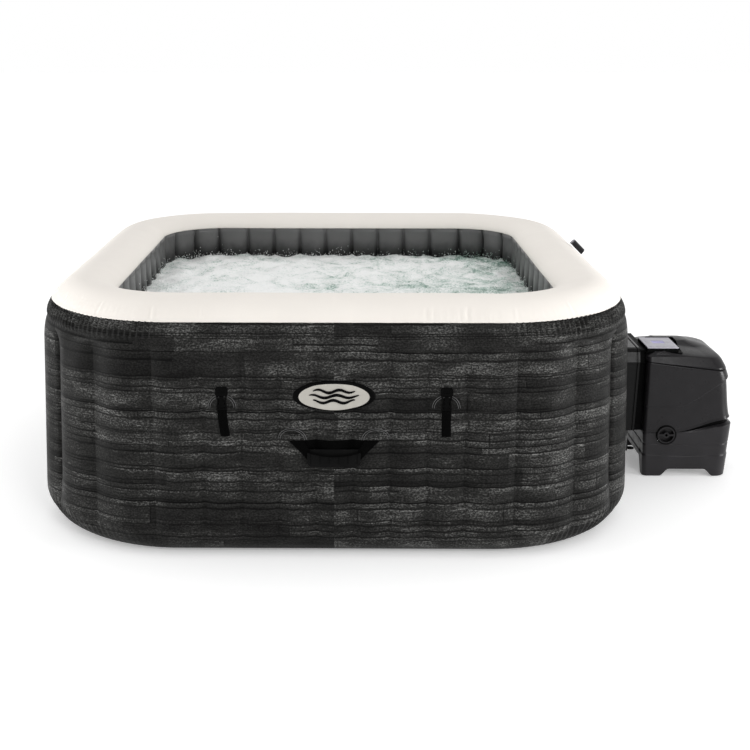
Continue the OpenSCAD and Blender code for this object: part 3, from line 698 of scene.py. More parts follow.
def churned_water():
    """Whirling water: white foam over pale green, with small bubbles."""
    look = Look("churned_water", roughness=0.28)
    place = look.place()
    warp = look.noise(place, 3.2, 3.0, 0.6, 0.8)
    streaks = look.noise(place, 9.0, 9.0, 0.68, 1.6)
    x, _, _ = look.split(place)
    clear = look.step(x, -0.25, 0.6, 0.0, 0.14)
    foam = look.math("SUBTRACT", look.times_add(warp, 0.55, streaks), clear)
    bubbles = look.voronoi(place, 110.0)
    foam = look.times_add(bubbles, 0.10, foam)
    fizz = look.noise(place, 170.0, 3.0, 0.8)
    foam = look.times_add(fizz, 0.95, look.math("SUBTRACT", foam, 0.475))
    look.colour(look.ramp(foam, (0.47, (0.14, 0.25, 0.20)), (0.58, (0.40, 0.53, 0.47)),
                          (0.68, (0.66, 0.72, 0.69)), (0.84, (0.93, 0.94, 0.93))))
    look.rough(look.step(foam, 0.5, 0.85, 0.16, 0.6))
    look.bumped(look.noise(place, 60.0, 6.0, 0.7, 0.6), 0.7, 0.006)
    look.bumped(bubbles, 0.6, 0.003)
    look.bumped(look.noise(place, 170.0, 4.0, 0.7), 0.6, 0.0025)
    return look.material


WELD_LINE = plastic("weld_line", grey(0.050), grey(0.105), 0.42, 0.2)
# The last pair is the band where the liner darkens towards the water: painted shade, partly wet vinyl.
LINER_VINYL = soft_vinyl("liner_vinyl", grey(0.098), grey(0.124), 0.34, 0.30, 0.003, (0.035, 0.104))
GRIP = plastic("grip_moulding", grey(0.0018), grey(0.0036), 0.45, 0.055, 0.25)
BASE_GREY = plastic("base_moulding", (0.0125, 0.0115, 0.0128), (0.0175, 0.0163, 0.0180), 0.36, 0.22, 0.08)
CHARCOAL = plastic("charcoal_moulding", (0.0072, 0.0065, 0.0074), (0.0105, 0.0097, 0.0108), 0.31, 0.20, 0.08)

SLOT_LOOKS = {
    "printed_wall": printed_vinyl("wall_print", 1.0),
    "cream_vinyl": soft_vinyl("rim_vinyl", (0.79, 0.75, 0.702), (0.82, 0.78, 0.73), 0.50, 0.05, 0.003),
    "grey_vinyl": soft_vinyl("floor_vinyl", grey(0.050), grey(0.064), 0.42, 0.5),
    "white_web": fibres("fibre_web", (220, 220, 8), grey(0.55), grey(0.8), 3.0, 0.55, 0.4, 0.0004, 0.8),
    "badge_cream": plastic("cream_print", (0.385, 0.37, 0.335), (0.445, 0.427, 0.388), 0.40, 0.22, 0.06),
    "dark_patch": printed_vinyl("patch_print", 0.85),
    "webbing": woven("webbing_weave", grey(0.0008), grey(0.003), 0.0022),
    "black_plastic": plastic("black_moulding", grey(0.0010), grey(0.002), 0.50, 0.035),
    "gloss_black": plastic("gloss_moulding", grey(0.0015), grey(0.003), 0.20, 0.13, 0.03),
    "charcoal_plastic": CHARCOAL,
    "light_grey_plastic": plastic("pale_moulding", (0.33, 0.32, 0.36), (0.39, 0.38, 0.425), 0.35),
    "grey_plastic": plastic("grey_moulding", grey(0.08), grey(0.12), 0.45),
    "filter_paper": fibres("filter_fleece", 800.0, (0.62, 0.72, 0.8), (0.85, 0.9, 0.94), 4.0, 0.7,
                           0.5, 0.0006, 0.9),
    "rubber": plastic("rubber_moulding", grey(0.010), grey(0.016), 0.75, 0.3, 0.3, 500.0),
    "steel": brushed("steel_brushed", (0.62, 0.62, 0.63), 0.3),
    "motor_metal": brushed("motor_brushed", (0.42, 0.43, 0.45), 0.42),
    "display": display(),
    "circuit_board": board(),
}


ROUNDED_NODES = ("drain_cap", "drain_port", "air_valve_hood", "water_in_nut", "water_out_nut", "air_nut",
                 "panel_body", "panel_face", "cable_gland")


def dress_nodes():
    """Every CAD node in the record takes the look of its slot, a few take other looks, and the nodes in
    ROUNDED_NODES get rounded edges.
    """
    for part in frame["record"]["subparts"]:
        mesh = frame["nodes"][part["node"]].data
        mesh.materials.clear()
        mesh.materials.append(SLOT_LOOKS[part["material_slot"]])
        mesh.polygons.foreach_set("material_index", [0] * len(mesh.polygons))
    for name in ("drain_cap", "air_valve_hood"):
        frame["nodes"][name].data.materials[0] = CHARCOAL
    frame["nodes"]["drain_port"].data.materials[0] = SLOT_LOOKS["black_plastic"]
    for name in ROUNDED_NODES:
        round_edges(frame["nodes"][name], 0.0006, 2, 40)


# ---- Tub ----
def build_skins():
    skin("printed_wall", OUTER_ROWS, samples(0.012, 0.0033), wall_stand_off,
         "printed_wall", "outer_wall")
    skin("rim_skin", RIM_ROWS, samples(0.0086, 0.0086), rim_stand_off,
         "cream_vinyl", "top_rim")
    skin("inner_liner", inner_rows(), samples(0.010, 0.008), inner_stand_off,
         "grey_vinyl", "inner_wall", LINER_VINYL)


def build_webs():
    """Fibre webs inside the chamber, holding the two walls together along the weld lines."""
    heights = np.linspace(0.10, 0.64, 28)
    parts = []
    for place in CREASES:
        px, py, nx, ny = perimeter(place)
        shoulder = 0.044 + 0.65 * (heights - 0.56)
        near = np.maximum(outer_inset(heights) - wall_stand_off(place, heights) + 0.004, shoulder)
        verts = []
        for z, inset in zip(heights, near):
            verts += [(px - nx * d, py - ny * d, z) for d in (inset, CHAMBER - 0.036)]
        parts.append((verts, grid_faces(len(heights), 2, False)))
    make_piece("chamber_webs", join_parts(parts), "white_web", ["internal_beams"], thickness=0.0015)


def build_water():
    """Churned surface up to the liner, with droplets thrown up along the edges."""
    reach = HALF - CHAMBER + 0.02
    corner = CORNER_R - CHAMBER + 0.02
    cell = 0.009
    count = int(2 * reach / cell)
    spots = np.linspace(-reach, reach, count + 1)
    verts = []
    for x in spots:
        for y in spots:
            spot = Vector((x, y, 0))
            swell = noise.fractal(spot * 4.5, 1.0, 2.1, 3)
            chop = noise.hetero_terrain(spot * 17, 0.8, 2.1, 5, 0.6) - 0.6
            edge = smooth(max(abs(x), abs(y)), reach - 0.16, reach - 0.04)
            verts.append((x, y, WATER_Z + (0.007 - 0.004 * edge) * swell + 0.0058 * chop))
    faces = []
    for i, j, k, m in grid_faces(count + 1, count + 1, False):
        x = abs((verts[i][0] + verts[k][0]) / 2)
        y = abs((verts[i][1] + verts[k][1]) / 2)
        dx = max(x - (reach - corner), 0)
        dy = max(y - (reach - corner), 0)
        if max(x, y) < reach and hypot(dx, dy) < corner:
            faces.append((i, j, k, m))
    look = churned_water()
    water = make_piece("water_surface", (verts, faces), "filter_paper", material=look, thickness=0.006)
    edit_mesh(water, drop_loose)

    draw = random.Random(11)
    ball = unit_ball()
    parts = []
    for _ in range(2600):
        s = draw.uniform(0, AROUND)
        px, py, nx, ny = perimeter(s)
        gust = 0.5 + 0.5 * wander(s * 1.5, 6)
        inward = CHAMBER + 0.004 + draw.expovariate(1 / 0.012)
        high = draw.expovariate(1 / (0.003 + 0.009 * gust))
        size = draw.uniform(0.0005, 0.0014)
        where = Matrix.Translation((px - nx * inward, py - ny * inward, WATER_Z + 0.004 + high))
        tall = Matrix.Diagonal((size, size, size * draw.uniform(0.8, 2.2), 1))
        parts.append(placed(where @ tall, ball))
    make_piece("water_spray", join_parts(parts), "filter_paper", material=look)


def drop_loose(mesh):
    loose = [v for v in mesh.verts if not v.link_faces]
    bmesh.ops.delete(mesh, geom=loose, context="VERTS")


def unit_ball():
    """A small round blob."""
    mesh = bmesh.new()
    bmesh.ops.create_icosphere(mesh, subdivisions=1, radius=1.0)
    verts = [tuple(v.co) for v in mesh.verts]
    faces = [tuple(v.index for v in f.verts) for f in mesh.faces]
    mesh.free()
    return verts, faces


# ---- Trim on the walls ----
def wall_matrix(side, x, z):
    """Frame on a side wall: local x along the wall, y into it, z up it."""
    turn = Matrix.Rotation(side * pi / 2, 4, "Z")
    shift = Matrix.Translation((x, -HALF + outer_inset(z), z))
    return turn @ shift @ Matrix.Rotation(-LEAN_ANGLE, 4, "X")


def on_surface(side, x, z, lift):
    """Point that stands lift off the lobed wall, and its place on the print."""
    stand = wall_stand_off(x, z) + lift
    y = -HALF + outer_inset(z) - stand * cos(LEAN_ANGLE)
    point = Vector((x, y, z + stand * sin(LEAN_ANGLE)))
    turned = Matrix.Rotation(side * pi / 2, 4, "Z") @ point
    return turned, (side * QUARTER + x, FOOT_LENGTH + (z - FOOT_RZ) / cos(LEAN_ANGLE))


def bridged(x, z):
    """Part of the way from the wall up to the crests beside it, for a stiff patch on a crease."""
    return 0.6 * (0.0044 - wall_stand_off(x, z))


def surface_grid(columns, rows, side, spot_at, closed=False, flipped=True):
    """Verts, faces and UVs of a grid laid on the wall; spot_at(i, j) gives x, z and the lift."""
    laid = [on_surface(side, *spot_at(i, j)) for i in range(columns) for j in range(rows)]
    faces = grid_faces(columns, rows, closed)
    if flipped:
        faces = [f[::-1] for f in faces]
    return [point for point, _ in laid], faces, [laid[k][1] for f in faces for k in f]


PATCH_RINGS = 30


def half_patch(side, x, z, radius, flatness):
    """Half-round welded patch, flat edge down, with two raised weld lines."""
    columns = 40

    def spot_at(i, j):
        a = pi * (1 - i / columns)
        r = j / PATCH_RINGS
        down = r * radius * sin(a) * flatness
        lines = hump(r, 0.93, 0.025) + 0.9 * hump(r, 0.81, 0.025)
        plate = 0.0008 * (1 - smooth(r, 0.95, 1.0))
        lift = plate + 0.0013 * lines + 0.0008 * hump(down, 0.0025, 0.0015)
        return x + r * radius * cos(a), z + down, lift

    return surface_grid(columns + 1, PATCH_RINGS + 1, side, spot_at, flipped=False)


def patch_group(name, items, radius, flatness, node):
    parts = [half_patch(*item, radius, flatness) for item in items]
    verts, faces = join_parts([part[:2] for part in parts])
    uvs = [uv for part in parts for uv in part[2]]
    obj = make_piece(name, (verts, faces, uvs), "dark_patch", [node], thickness=0.0012)
    rings = [k % PATCH_RINGS / PATCH_RINGS for k in range(len(faces))]
    second_material(obj, WELD_LINE, [0.90 < r < 0.95 or 0.785 < r < 0.82 for r in rings])


BUCKLE_X = 0.298
BUCKLE_Z = 0.425
HANDLE_Z = 0.341
HANDLE_HALF = 0.112
BADGE_Z = 0.463
BADGE_W = 0.220
BADGE_RATIO = 0.378


def build_patches():
    buckles = [(side, x, BUCKLE_Z + 0.004) for side in range(4) for x in (-BUCKLE_X, BUCKLE_X)]
    patch_group("buckle_welds", buckles, 0.039, 1.0, "buckle_patches")
    ends = [(side, x, HANDLE_Z) for side in (0, 2) for x in (-HANDLE_HALF, HANDLE_HALF)]
    patch_group("handle_welds", ends, 0.040, 0.85, "handle_patches")


def build_badge():
    """Domed oval with a dark border and a plain wave mark."""
    columns = 120
    inner_rings = 14
    border_rings = 7
    rows = inner_rings + border_rings + 1
    half_w = BADGE_W / 2
    half_h = half_w * BADGE_RATIO

    def plate_spot(i, j):
        a = 2 * pi * i / columns
        outer = Vector((half_w * cos(a), half_h * sin(a)))
        inner = Vector((0.855 * half_w * cos(a), 0.86 * half_h * sin(a) - 0.0025))
        t = max((j - inner_rings) / border_rings, 0)
        spot = inner * max(min(j / inner_rings, 1), 0.001)
        if t > 0:
            spot = inner.lerp(outer, t)
        x, z = spot.x, BADGE_Z + spot.y
        lift = 0.0016 + 0.0012 * sin(pi * t) - 0.0014 * smooth(t, 0.7, 1.0)
        return x, z, lift + bridged(x, z)

    plate = surface_grid(columns, rows, 0, plate_spot, closed=True)
    badge = make_piece("badge_plate", plate, "badge_cream", ["badge"], thickness=0.0014)
    border = [k % (rows - 1) >= inner_rings for k in range(len(plate[1]))]
    second_material(badge, SLOT_LOOKS["black_plastic"], border)

    parts = []
    steps = 110
    for row, (reach, drop) in enumerate(((0.056, 0.013), (0.066, -0.001), (0.056, -0.015))):
        def wave_spot(i, j):
            t = -1 + 2 * i / steps
            width = 0.0038 * (1 - t * t) ** 0.4 + 0.0002
            middle = BADGE_Z + drop + 0.0040 * sin(t * 2.0 * pi + row * 0.9)
            z = middle + (width if j == 0 else -width)
            return t * reach, z, 0.0030 + bridged(t * reach, z)

        parts.append(surface_grid(steps + 1, 2, 0, wave_spot)[:2])
    make_piece("badge_waves", join_parts(parts), "black_plastic", thickness=0.0012)


def build_webbing():
    """25 mm webbing under each buckle, with a raised hem near the end of its tail."""
    half = 0.0125
    length = 0.076
    columns = 7
    rows = 31
    parts = []
    for side in range(4):
        for x in (-BUCKLE_X, BUCKLE_X):
            slant = 0.008 if x < 0 else 0.001

            def tail_spot(i, j):
                across = half * (2 * i / (columns - 1) - 1)
                down = length * j / (rows - 1)
                hem = 0.0010 * smooth(down, 0.058, 0.061)
                edge = 0.0005 * smooth(abs(across), 0.009, half)
                sag = 0.0004 * sin(down * 70)
                lift = 0.0018 + hem - edge + sag
                return x + across + slant * (down / length) ** 1.5, BUCKLE_Z + 0.003 - down, lift

            parts.append(surface_grid(columns, rows, side, tail_spot)[:2])
    make_piece("buckle_tails", join_parts(parts), "webbing", ["buckle_webbing"], thickness=0.0016)


def mirrored(half):
    """A closed outline from its right half, listed upwards."""
    return half + [(-x, z) for x, z in reversed(half)]


def buckle_part():
    """Socket half of a side-release buckle in its wall frame: head, two arms, pad and bars."""
    head = mirrored([(0.0145, 0.039), (0.0165, 0.042), (0.0165, 0.057), (0.0135, 0.062)])
    pad = mirrored([(0.0075, 0.006), (0.006, 0.020), (0.0055, 0.038)])
    bar = mirrored([(0.0140, 0.0), (0.0140, 0.0055)])
    upper_bar = mirrored([(0.0138, 0.0095), (0.0128, 0.0165)])
    parts = [prism(head, -0.0029, -0.0108), prism(pad, -0.0040, -0.0102),
             prism(bar, -0.0029, -0.0092), prism(upper_bar, -0.0029, -0.0105)]
    arm = [(0.0140, 0.0), (0.0110, 0.0), (0.0078, 0.024), (0.0115, 0.041), (0.0155, 0.041), (0.0115, 0.025)]
    for sign in (-1, 1):
        parts.append(prism([(sign * x, z) for x, z in arm], -0.0032, -0.0100))
    for k in range(3):
        low = 0.0465 + 0.0045 * k
        parts.append(prism(mirrored([(0.010, low), (0.010, low + 0.0018)]), -0.0100, -0.0116))
    return join_parts(parts)


def build_buckles():
    names = (("front_left", "front_right"), ("right_front", "right_back"),
             ("back_right", "back_left"), ("left_back", "left_front"))
    for side, pair in enumerate(names):
        for x, name in zip((-BUCKLE_X, BUCKLE_X), pair):
            part = placed(wall_matrix(side, x, BUCKLE_Z), buckle_part())
            node = "buckle_" + name
            piece = make_piece("socket_" + name, part, "black_plastic", [node], node, flat=True)
            mend_normals(piece)
            round_edges(piece, 0.0009)


# ---- Carry handles ----
GRIP_HALF = 0.071
GRIP_TOP = -0.024
GRIP_H = 0.046


def grip_part():
    """Moulded grip: a back plate and a front lip that dips in the middle, joined below."""
    columns = 96
    low = GRIP_TOP - GRIP_H
    verts = []
    for i in range(columns + 1):
        t = -1 + 2 * i / columns
        end = max(1 - abs(t) ** 10, 0) ** 0.5
        lip = GRIP_TOP - 0.0050 - 0.0125 * (1 - t * t)
        foot = low + 0.010 * (1 - end)
        section = ((-0.0068, GRIP_TOP), (-0.0068, foot + 0.004), (-0.0100, foot), (-0.0205, foot),
                   (-0.0246, foot + 0.003), (-0.0257, foot + 0.010), (-0.0250, lip - 0.004),
                   (-0.0238, lip), (-0.0216, lip), (-0.0208, lip - 0.004), (-0.0212, foot + 0.008),
                   (-0.0185, foot + 0.005), (-0.0150, foot + 0.005), (-0.0120, foot + 0.012),
                   (-0.0098, GRIP_TOP - 0.010), (-0.0096, GRIP_TOP - 0.001), (-0.0088, GRIP_TOP))
        verts += [(t * GRIP_HALF, y, z) for y, z in section]
    rows = len(section)
    faces = grid_faces(columns + 1, rows, False)
    for i in range(columns):
        faces.append((i * rows + rows - 1, (i + 1) * rows + rows - 1, (i + 1) * rows, i * rows))
    faces.append(tuple(range(rows)))
    faces.append(tuple(range((columns + 1) * rows - 1, columns * rows - 1, -1)))
    return verts, faces


def rib_part():
    """Six dark slots in the lip, as thin raised bars."""
    parts = []
    for k in range(6):
        x = (k - 2.5) * 0.0248
        low = GRIP_TOP - GRIP_H + 0.009
        top = GRIP_TOP - 0.0055 - 0.0125 * (1 - (x / GRIP_HALF) ** 2)
        parts.append(box_part((x - 0.0010, -0.0238, low), (x + 0.0010, -0.0262, top)))
    return join_parts(parts)


def strap_part(sign):
    """Webbing from the patch's edge to the grip's end."""
    outer = (Vector((sign * 0.121, -0.001)), Vector((sign * 0.0715, -0.052)))
    inner = (Vector((sign * 0.082, -0.001)), Vector((sign * 0.0640, -0.028)))
    steps = 20
    across = 10
    verts = []
    for i in range(steps + 1):
        t = i / steps
        near = inner[0].lerp(inner[1], t)
        far = outer[0].lerp(outer[1], t)
        for k in range(across + 1):
            w = k / across
            spot = near.lerp(far, w)
            drop = -0.0066 - 0.0035 * smooth(t, 0.35, 1.0)
            curl = 0.0012 * sin(pi * t) * cos(3.0 * w)
            verts.append((spot.x, drop - curl, spot.y))
    return verts, grid_faces(steps + 1, across + 1, False)


def build_dark_strip():
    """Black webbing strip on the wall between the two patches of a handle, behind the grip."""
    columns = 50
    rows = 8

    def spot_at(i, j):
        x = -0.086 + 0.172 * i / (columns - 1)
        return x, HANDLE_Z - 0.001 - 0.026 * j / (rows - 1), 0.0012 + 0.0004 * cos(j * 0.9)

    parts = [surface_grid(columns, rows, side, spot_at)[:2] for side in (0, 2)]
    make_piece("handle_dark_strip", join_parts(parts), "webbing", thickness=0.0012)


def build_handles():
    for side, name in ((0, "front_handle"), (2, "back_handle")):
        where = wall_matrix(side, 0, HANDLE_Z)
        grip = make_piece(name + "_bar", placed(where, grip_part()), "black_plastic",
                          [name + "_grip"], name, GRIP)
        mend_normals(grip)
        keep_edges(grip)
        round_edges(grip, 0.0008, 2, 32)
        ribs = make_piece(name + "_ribs", placed(where, rib_part()), "black_plastic", (), name, flat=True)
        mend_normals(ribs)
        round_edges(ribs, 0.0006)
        sides = join_parts([strap_part(-1), strap_part(1)])
        straps = make_piece(name + "_webbing", placed(where, sides), "webbing",
                            [name + "_straps"], name, thickness=0.0022)
        straps.modifiers["thickness"].offset = 0


# ---- Pump and heater unit ----
UNIT_X0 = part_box("unit_shell")[0].x
UNIT_X1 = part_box("unit_base")[1].x
UNIT_MIDDLE = (UNIT_X0 + UNIT_X1) / 2
UNIT_Y0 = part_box("unit_base")[0].y
UNIT_Y1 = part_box("unit_base")[1].y
UNIT_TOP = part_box("unit_top_cover")[1].z
PART_Z = 0.152
PART_RISE = 0.034
LEFT_SIDE = ((0.0, 0.013), (0.152, 0.003), (0.386, 0.0), (0.418, 0.002), (0.4225, 0.006), (0.4265, 0.012),
             (0.432, 0.030))
RIGHT_SIDE = ((0.0, 0.009), (0.186, 0.0), (0.215, 0.007), (0.240, 0.012), (0.330, 0.025), (0.366, 0.038),
              (0.398, 0.056), (0.414, 0.080), (0.426, 0.120), (0.432, 0.165))
FRONT_SIDE = ((0.0, 0.005), (0.152, 0.0), (0.386, 0.001), (0.417, 0.014), (0.4215, 0.026), (0.4265, 0.050),
              (0.432, 0.085), (0.450, 0.110))
BACK_SIDE = ((0.0, 0.004), (0.152, 0.0), (0.350, 0.012), (0.406, 0.050), (0.424, 0.100), (0.432, 0.150))
RIGHT_R = 0.042
LEFT_R = 0.014
DRAIN_X = 1.062
DRAIN_Z = 0.144
DRAIN_R = 0.0323


def profile(side, z):
    """Distance that a side lies inside the unit's box at height z."""
    return np.interp(z, *zip(*side))


def eased(side, z):
    """profile() with its corners softened."""
    reach = 0.0012 if side is FRONT_SIDE and z > 0.37 else 0.010
    return sum(profile(side, z + reach * k / 3) for k in range(-3, 4)) / 7


def part_line(x):
    return PART_Z + PART_RISE * smooth(x, UNIT_X0 + 0.10, UNIT_X1 + 0.02)


def part_gap(x):
    """Height of the shadow gap between the base and the shell: a wedge towards the right."""
    return 0.0015 + 0.0125 * smooth(x, 1.09, 1.22)


def cover_line(x):
    return 0.387 - 0.030 * (x - UNIT_X0) / (UNIT_X1 - UNIT_X0)


def shoulder_fall(share):
    """The front's shoulder falls towards the right, along with the cover's lower edge."""
    if share < 0.5:
        return 0.018
    return 0.018 * 8 * max(share - 0.875, 0)


def ring_point(share, z):
    """Point and outward normal of the unit's outline at height z; share runs once round it."""
    x0 = UNIT_X0 + eased(LEFT_SIDE, z)
    x1 = UNIT_X1 - eased(RIGHT_SIDE, z)
    y0 = UNIT_Y0 + eased(FRONT_SIDE, z + shoulder_fall(share))
    y1 = UNIT_Y1 - eased(BACK_SIDE, z)
    limit = min((x1 - x0) / 2.6, (y1 - y0) / 2.6)
    wide = min(RIGHT_R, limit)
    tight = min(LEFT_R + 0.05 * smooth(z, 0.40, 0.43), limit)
    corners = ((x1 - wide, y0 + wide, wide), (x1 - wide, y1 - wide, wide),
               (x0 + tight, y1 - tight, tight), (x0 + tight, y0 + tight, tight))
    k = int(share * 4 % 4)
    f = share * 4 % 4 - k
    cx, cy, r = corners[k]
    a = radians(-90 + 90 * k + 180 * min(f, 0.5))
    c, d = cos(a), sin(a)
    x, y = cx + r * c, cy + r * d
    if f < 0.5:
        return x, y, c, d
    nx, ny, next_r = corners[(k + 1) % 4]
    t = (f - 0.5) * 2
    return x + (nx + next_r * c - x) * t, y + (ny + next_r * d - y) * t, c, d


def unit_shares(per_corner, per_side):
    """Places round the unit, with points spent on the corners and on the sides."""
    shares = []
    for k in range(4):
        shares += [(k + 0.5 * i / per_corner) / 4 for i in range(per_corner)]
        shares += [(k + 0.5 + 0.5 * i / per_side) / 4 for i in range(per_side)]
    return shares


UNIT_SHARES = unit_shares(14, 40)


def unit_loft(rows, low, high, stand_off, close_top=False):
    """Loft between two lines given as functions of x and y; stand_off moves it outward."""
    verts = []
    for share in UNIT_SHARES:
        x, y, _, _ = ring_point(share, PART_Z)
        bottom = low(x, y)
        for j in range(rows + 1):
            t = j / rows
            z = bottom + (high(x) - bottom) * t
            px, py, nx, ny = ring_point(share, z)
            d = stand_off(px, z, t, ny)
            verts.append((px + nx * d, py + ny * d, z))
    faces = grid_faces(len(UNIT_SHARES), rows + 1, True)
    if close_top:
        faces.append(tuple(k * (rows + 1) + rows for k in range(len(UNIT_SHARES))))
    return verts, faces


def swoosh(x):
    """Height of the crease that sweeps up the front and round the right side."""
    return 0.237 + 0.100 * smooth(x, UNIT_X0 + 0.10, UNIT_X1 + 0.002)


def front_bow(x, ny):
    return 0.003 * max(-ny, 0) * hump(x, UNIT_MIDDLE, 0.11)


def shell_stand_off(x, z, t, ny):
    line = swoosh(x)
    fade = 0.30 + 0.70 * smooth(x, 1.04, 1.18)
    step = 0.0075 * fade * smooth(z, line - 0.001, line + 0.0045)
    belly = 0.0030 * max(-ny, 0) * hump(z, 0.315, 0.055)
    lip = 0.0016 * hump(t, 0.0, 0.03)
    tuck = 0.002 * smooth(t, 0.985, 1.0)
    return step - 0.0075 * fade + belly + lip + front_bow(x, ny) - tuck


def cover_stand_off(x, z, t, ny):
    shoulder = 0.0028 * smooth(t, 0.0, 0.03) * (1 - smooth(z, 0.402, 0.410))
    return shoulder + front_bow(x, ny) - 0.0015


def foot_line(x, y):
    """Lower edge of the base: feet at the corners, arches between them."""
    front = smooth(x, 1.046, 1.076) * (1 - smooth(x, 1.196, 1.232))
    side = smooth(y, -0.226, -0.200) * (1 - smooth(y, -0.040, -0.016))
    if abs(x - UNIT_X0) < 0.016 or abs(x - UNIT_X1) < 0.016:
        return 0.002 + 0.054 * side
    return 0.002 + 0.024 * front


def base_stand_off(x, z, t, ny):
    sag = 0.005 * hump(x, UNIT_MIDDLE, 0.09)
    skirt = 0.0024 * (1 - smooth(z, 0.072 - sag, 0.076 - sag))
    groove = -0.0018 * hump(z, 0.113 - sag, 0.0022)
    top = part_line(x)
    ledge = (0.0018 + 0.010 * smooth(x, 1.11, 1.24)) * smooth(z, top - 0.008, top - 0.001)
    return skirt + groove - ledge - 0.0024


def cut_away(obj, part):
    """Cuts a closed part, given as verts and faces, out of a thickened piece."""
    tool = add_mesh("cutting_tool", *part, flat=True)
    mend_normals(tool)
    cut = obj.modifiers.new("cut", "BOOLEAN")
    cut.object = tool
    cut.operation = "DIFFERENCE"
    cut.solver = "EXACT"
    depsgraph = bpy.context.evaluated_depsgraph_get()
    depsgraph.update()
    mesh = bpy.data.meshes.new_from_object(obj.evaluated_get(depsgraph))
    obj.modifiers.clear()
    obj.data = mesh
    obj.data.shade_smooth()
    bpy.data.objects.remove(tool)
    keep_edges(obj)


def drain_bore():
    steps = 64
    turns = [2 * pi * i / steps for i in range(steps)]
    outline = [(DRAIN_X + DRAIN_R * cos(a), DRAIN_Z + DRAIN_R * sin(a)) for a in turns]
    return prism(outline, UNIT_Y0 - 0.02, UNIT_Y0 + 0.03)


def louvre_slots():
    lows = [0.230 + 0.016 * i for i in range(5)]
    return [box_part((1.054, UNIT_Y1 - 0.035, z), (1.174, UNIT_Y1 + 0.02, z + 0.006)) for z in lows]


def unit_piece(name, loft, thickness, slot, replaced=(), cutter=None, material=None):
    """A lofted skin of the unit with a thickness, cut out by a closed part if one is given."""
    piece = add_mesh(name, *loft)
    thicken(piece, thickness)
    if cutter:
        cut_away(piece, cutter)
    finish_piece(piece, slot, replaced, material=material)


def build_unit():
    bore = drain_bore()
    shell = unit_loft(84, lambda x, y: part_line(x) + part_gap(x), lambda x: cover_line(x) - 0.0008,
                      shell_stand_off)
    unit_piece("unit_side_shell", shell, 0.003, "charcoal_plastic", ["unit_shell"],
               join_parts([bore] + louvre_slots()))

    low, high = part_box("panel_body")
    pocket_low = low - Vector((0.002, 0.002, 0.001))
    # Past the panel's right side the pocket reaches 13 mm further so that the black well shows there: a
    # painted shadow of a step in the cover.
    pocket_and_shadow_high = high + Vector((0.013, 0.002, 0.05))
    lid = unit_loft(56, lambda x, y: cover_line(x) + 0.0008, lambda x: UNIT_TOP - 0.0006,
                    cover_stand_off, close_top=True)
    unit_piece("unit_lid", lid, 0.003, "charcoal_plastic", ["unit_top_cover"],
               box_part(pocket_low, pocket_and_shadow_high))

    pocket_and_shadow_high.z = low.z - 0.0005
    well = box_part(pocket_low - Vector((0.002, 0.002, 0.0015)), pocket_and_shadow_high)
    # The black well: the pocket's floor, and right of the panel a strip of painted shadow.
    mend_normals(make_piece("panel_well_and_shadow", well, "black_plastic", flat=True))

    tray = unit_loft(60, foot_line, lambda x: part_line(x) - 0.0010, base_stand_off)
    unit_piece("unit_tray", tray, 0.004, "charcoal_plastic", ["unit_base"], bore, BASE_GREY)

    tongue = unit_loft(3, lambda x, y: cover_line(x) - 0.012, lambda x: cover_line(x) + 0.010,
                       lambda x, z, t, ny: -0.0105)
    unit_piece("unit_cover_tongue", tongue, 0.002, "black_plastic")

    recess = unit_loft(6, lambda x, y: part_line(x) - 0.016, lambda x: part_line(x) + 0.030,
                       lambda x, z, t, ny: -0.0068 - 0.0095 * smooth(x, 1.08, 1.20))
    unit_piece("unit_shadow_lip", recess, 0.002, "black_plastic", cutter=bore)


COWL_SECTION = ((-0.2355, 0.152), (-0.2355, 0.372), (-0.2385, 0.378), (-0.2385, 0.382), (-0.2265, 0.411),
                (-0.2235, 0.4150), (-0.2180, 0.4205), (-0.2100, 0.4235), (0.0000, 0.4235), (0.0080, 0.4205),
                (0.0135, 0.4150), (0.0165, 0.411), (0.0280, 0.382), (0.0280, 0.378), (0.0255, 0.372),
                (0.0255, 0.152))
COWL_STATIONS = ((0.886, 0.0), (0.920, 0.0), (0.9545, 0.0), (0.9555, 0.0012), (0.9560, 0.0030),
                 (0.9580, 0.0030), (0.9585, 0.0012), (0.9595, 0.0), (0.9660, 0.0), (0.9672, 0.0015),
                 (0.9676, 0.0070), (0.9750, 0.0070), (0.9888, 0.0070))
JOINT_STATION = 9


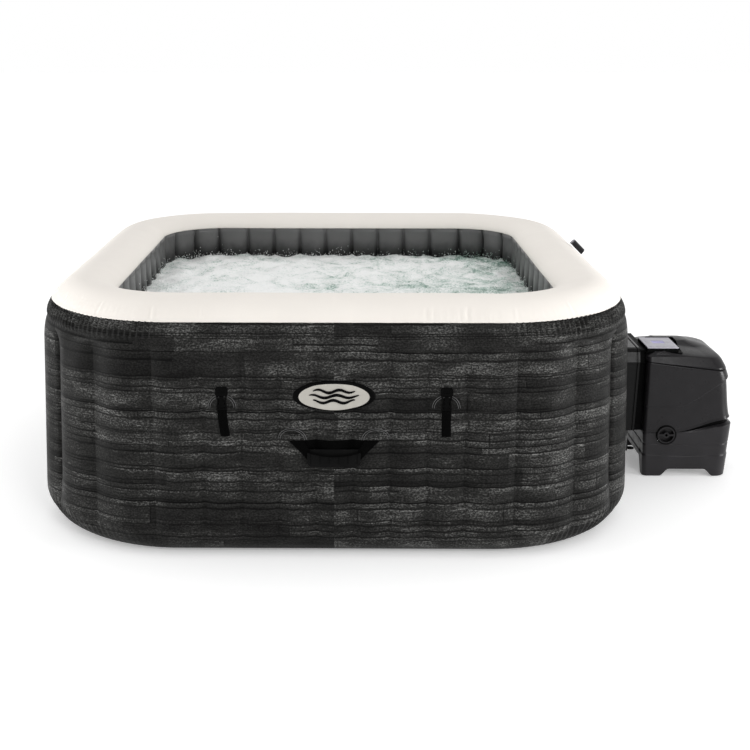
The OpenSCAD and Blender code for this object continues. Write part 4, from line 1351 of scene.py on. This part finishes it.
def build_cowl():
    """Glossy hood over the couplings: lit chamfer, a groove and a black recessed joint strip."""
    count = len(COWL_SECTION)
    normals = []
    for k in range(count):
        back = Vector(COWL_SECTION[max(k - 1, 0)])
        ahead = Vector(COWL_SECTION[min(k + 1, count - 1)])
        along = (ahead - back).normalized()
        normals.append(Vector((-along.y, along.x)))
    verts = []
    for x, inset in COWL_STATIONS:
        for (y, z), normal in zip(COWL_SECTION, normals):
            lean = 0.012 * (0.42 - z) * (0.95 < x < 0.98)
            verts.append((x - lean, y - normal.x * inset, z - normal.y * inset))
    faces = grid_faces(len(COWL_STATIONS), count, False)
    cowl = make_piece("unit_hood", (verts, faces), "gloss_black", ["unit_cowl"], thickness=0.003)
    joint = [k // (count - 1) >= JOINT_STATION for k in range(len(faces))]
    second_material(cowl, SLOT_LOOKS["black_plastic"], joint)
    mend_normals(cowl)
    round_edges(cowl, 0.0012, 2, 18)


# ---- Stage ----
def build_stage():
    size = 40
    corners = [(-size, -size, 0), (size, -size, 0), (size, size, 0), (-size, size, 0)]
    floor = add_mesh("floor", corners, [(0, 1, 2, 3)], flat=True)
    look = Look("floor_white", 0.9, 0.1, Emission_Color=(1, 1, 1, 1), Emission_Strength=0.26)
    look.colour(look.ramp(look.noise(look.place(), 2.0), (0.0, grey(0.90)), (1.0, grey(0.92))))
    floor.data.materials.append(look.material)


def add_area(name, location, target, size, power):
    data = bpy.data.lights.new(name, "AREA")
    data.shape = "SQUARE"
    data.size = size
    data.energy = power
    lamp = bpy.data.objects.new(name, data)
    lamp.location = location
    aim = Vector(target) - Vector(location)
    lamp.rotation_euler = aim.to_track_quat("-Z", "Y").to_euler()
    bpy.context.collection.objects.link(lamp)


def build_light():
    world = bpy.data.worlds.new("studio")
    bpy.context.scene.world = world
    world.use_nodes = True
    sky = Graph(world.node_tree)
    _, y, _ = sky.split(sky.add("TexCoord").outputs["Generated"])
    fall = sky.step(y, -0.95, -0.15, 0.44, 1.0, "LINEAR")
    seen = sky.math("MAXIMUM", fall, sky.add("LightPath").outputs["Is Camera Ray"])
    background = sky.tree.nodes["Background"]
    sky.fill(background, {"Color": (1, 1, 1, 1), "Strength": seen})
    add_area("front_light", (2.0, -4.8, 3.1), (0.2, 0, 0.4), 1.7, 60)
    add_area("left_light", (-4.3, -1.5, 0.6), (0, 0, 0.3), 1.2, 75)
    add_area("right_light", (4.6, -1.8, 0.5), (0, 0, 0.3), 1.2, 95)
    bpy.context.scene.view_settings.view_transform = "Standard"


for build in (dress_nodes, build_skins, build_webs, build_patches, build_badge, build_webbing,
              build_buckles, build_handles, build_dark_strip, build_unit, build_cowl, build_water,
              build_stage, build_light):
    build()
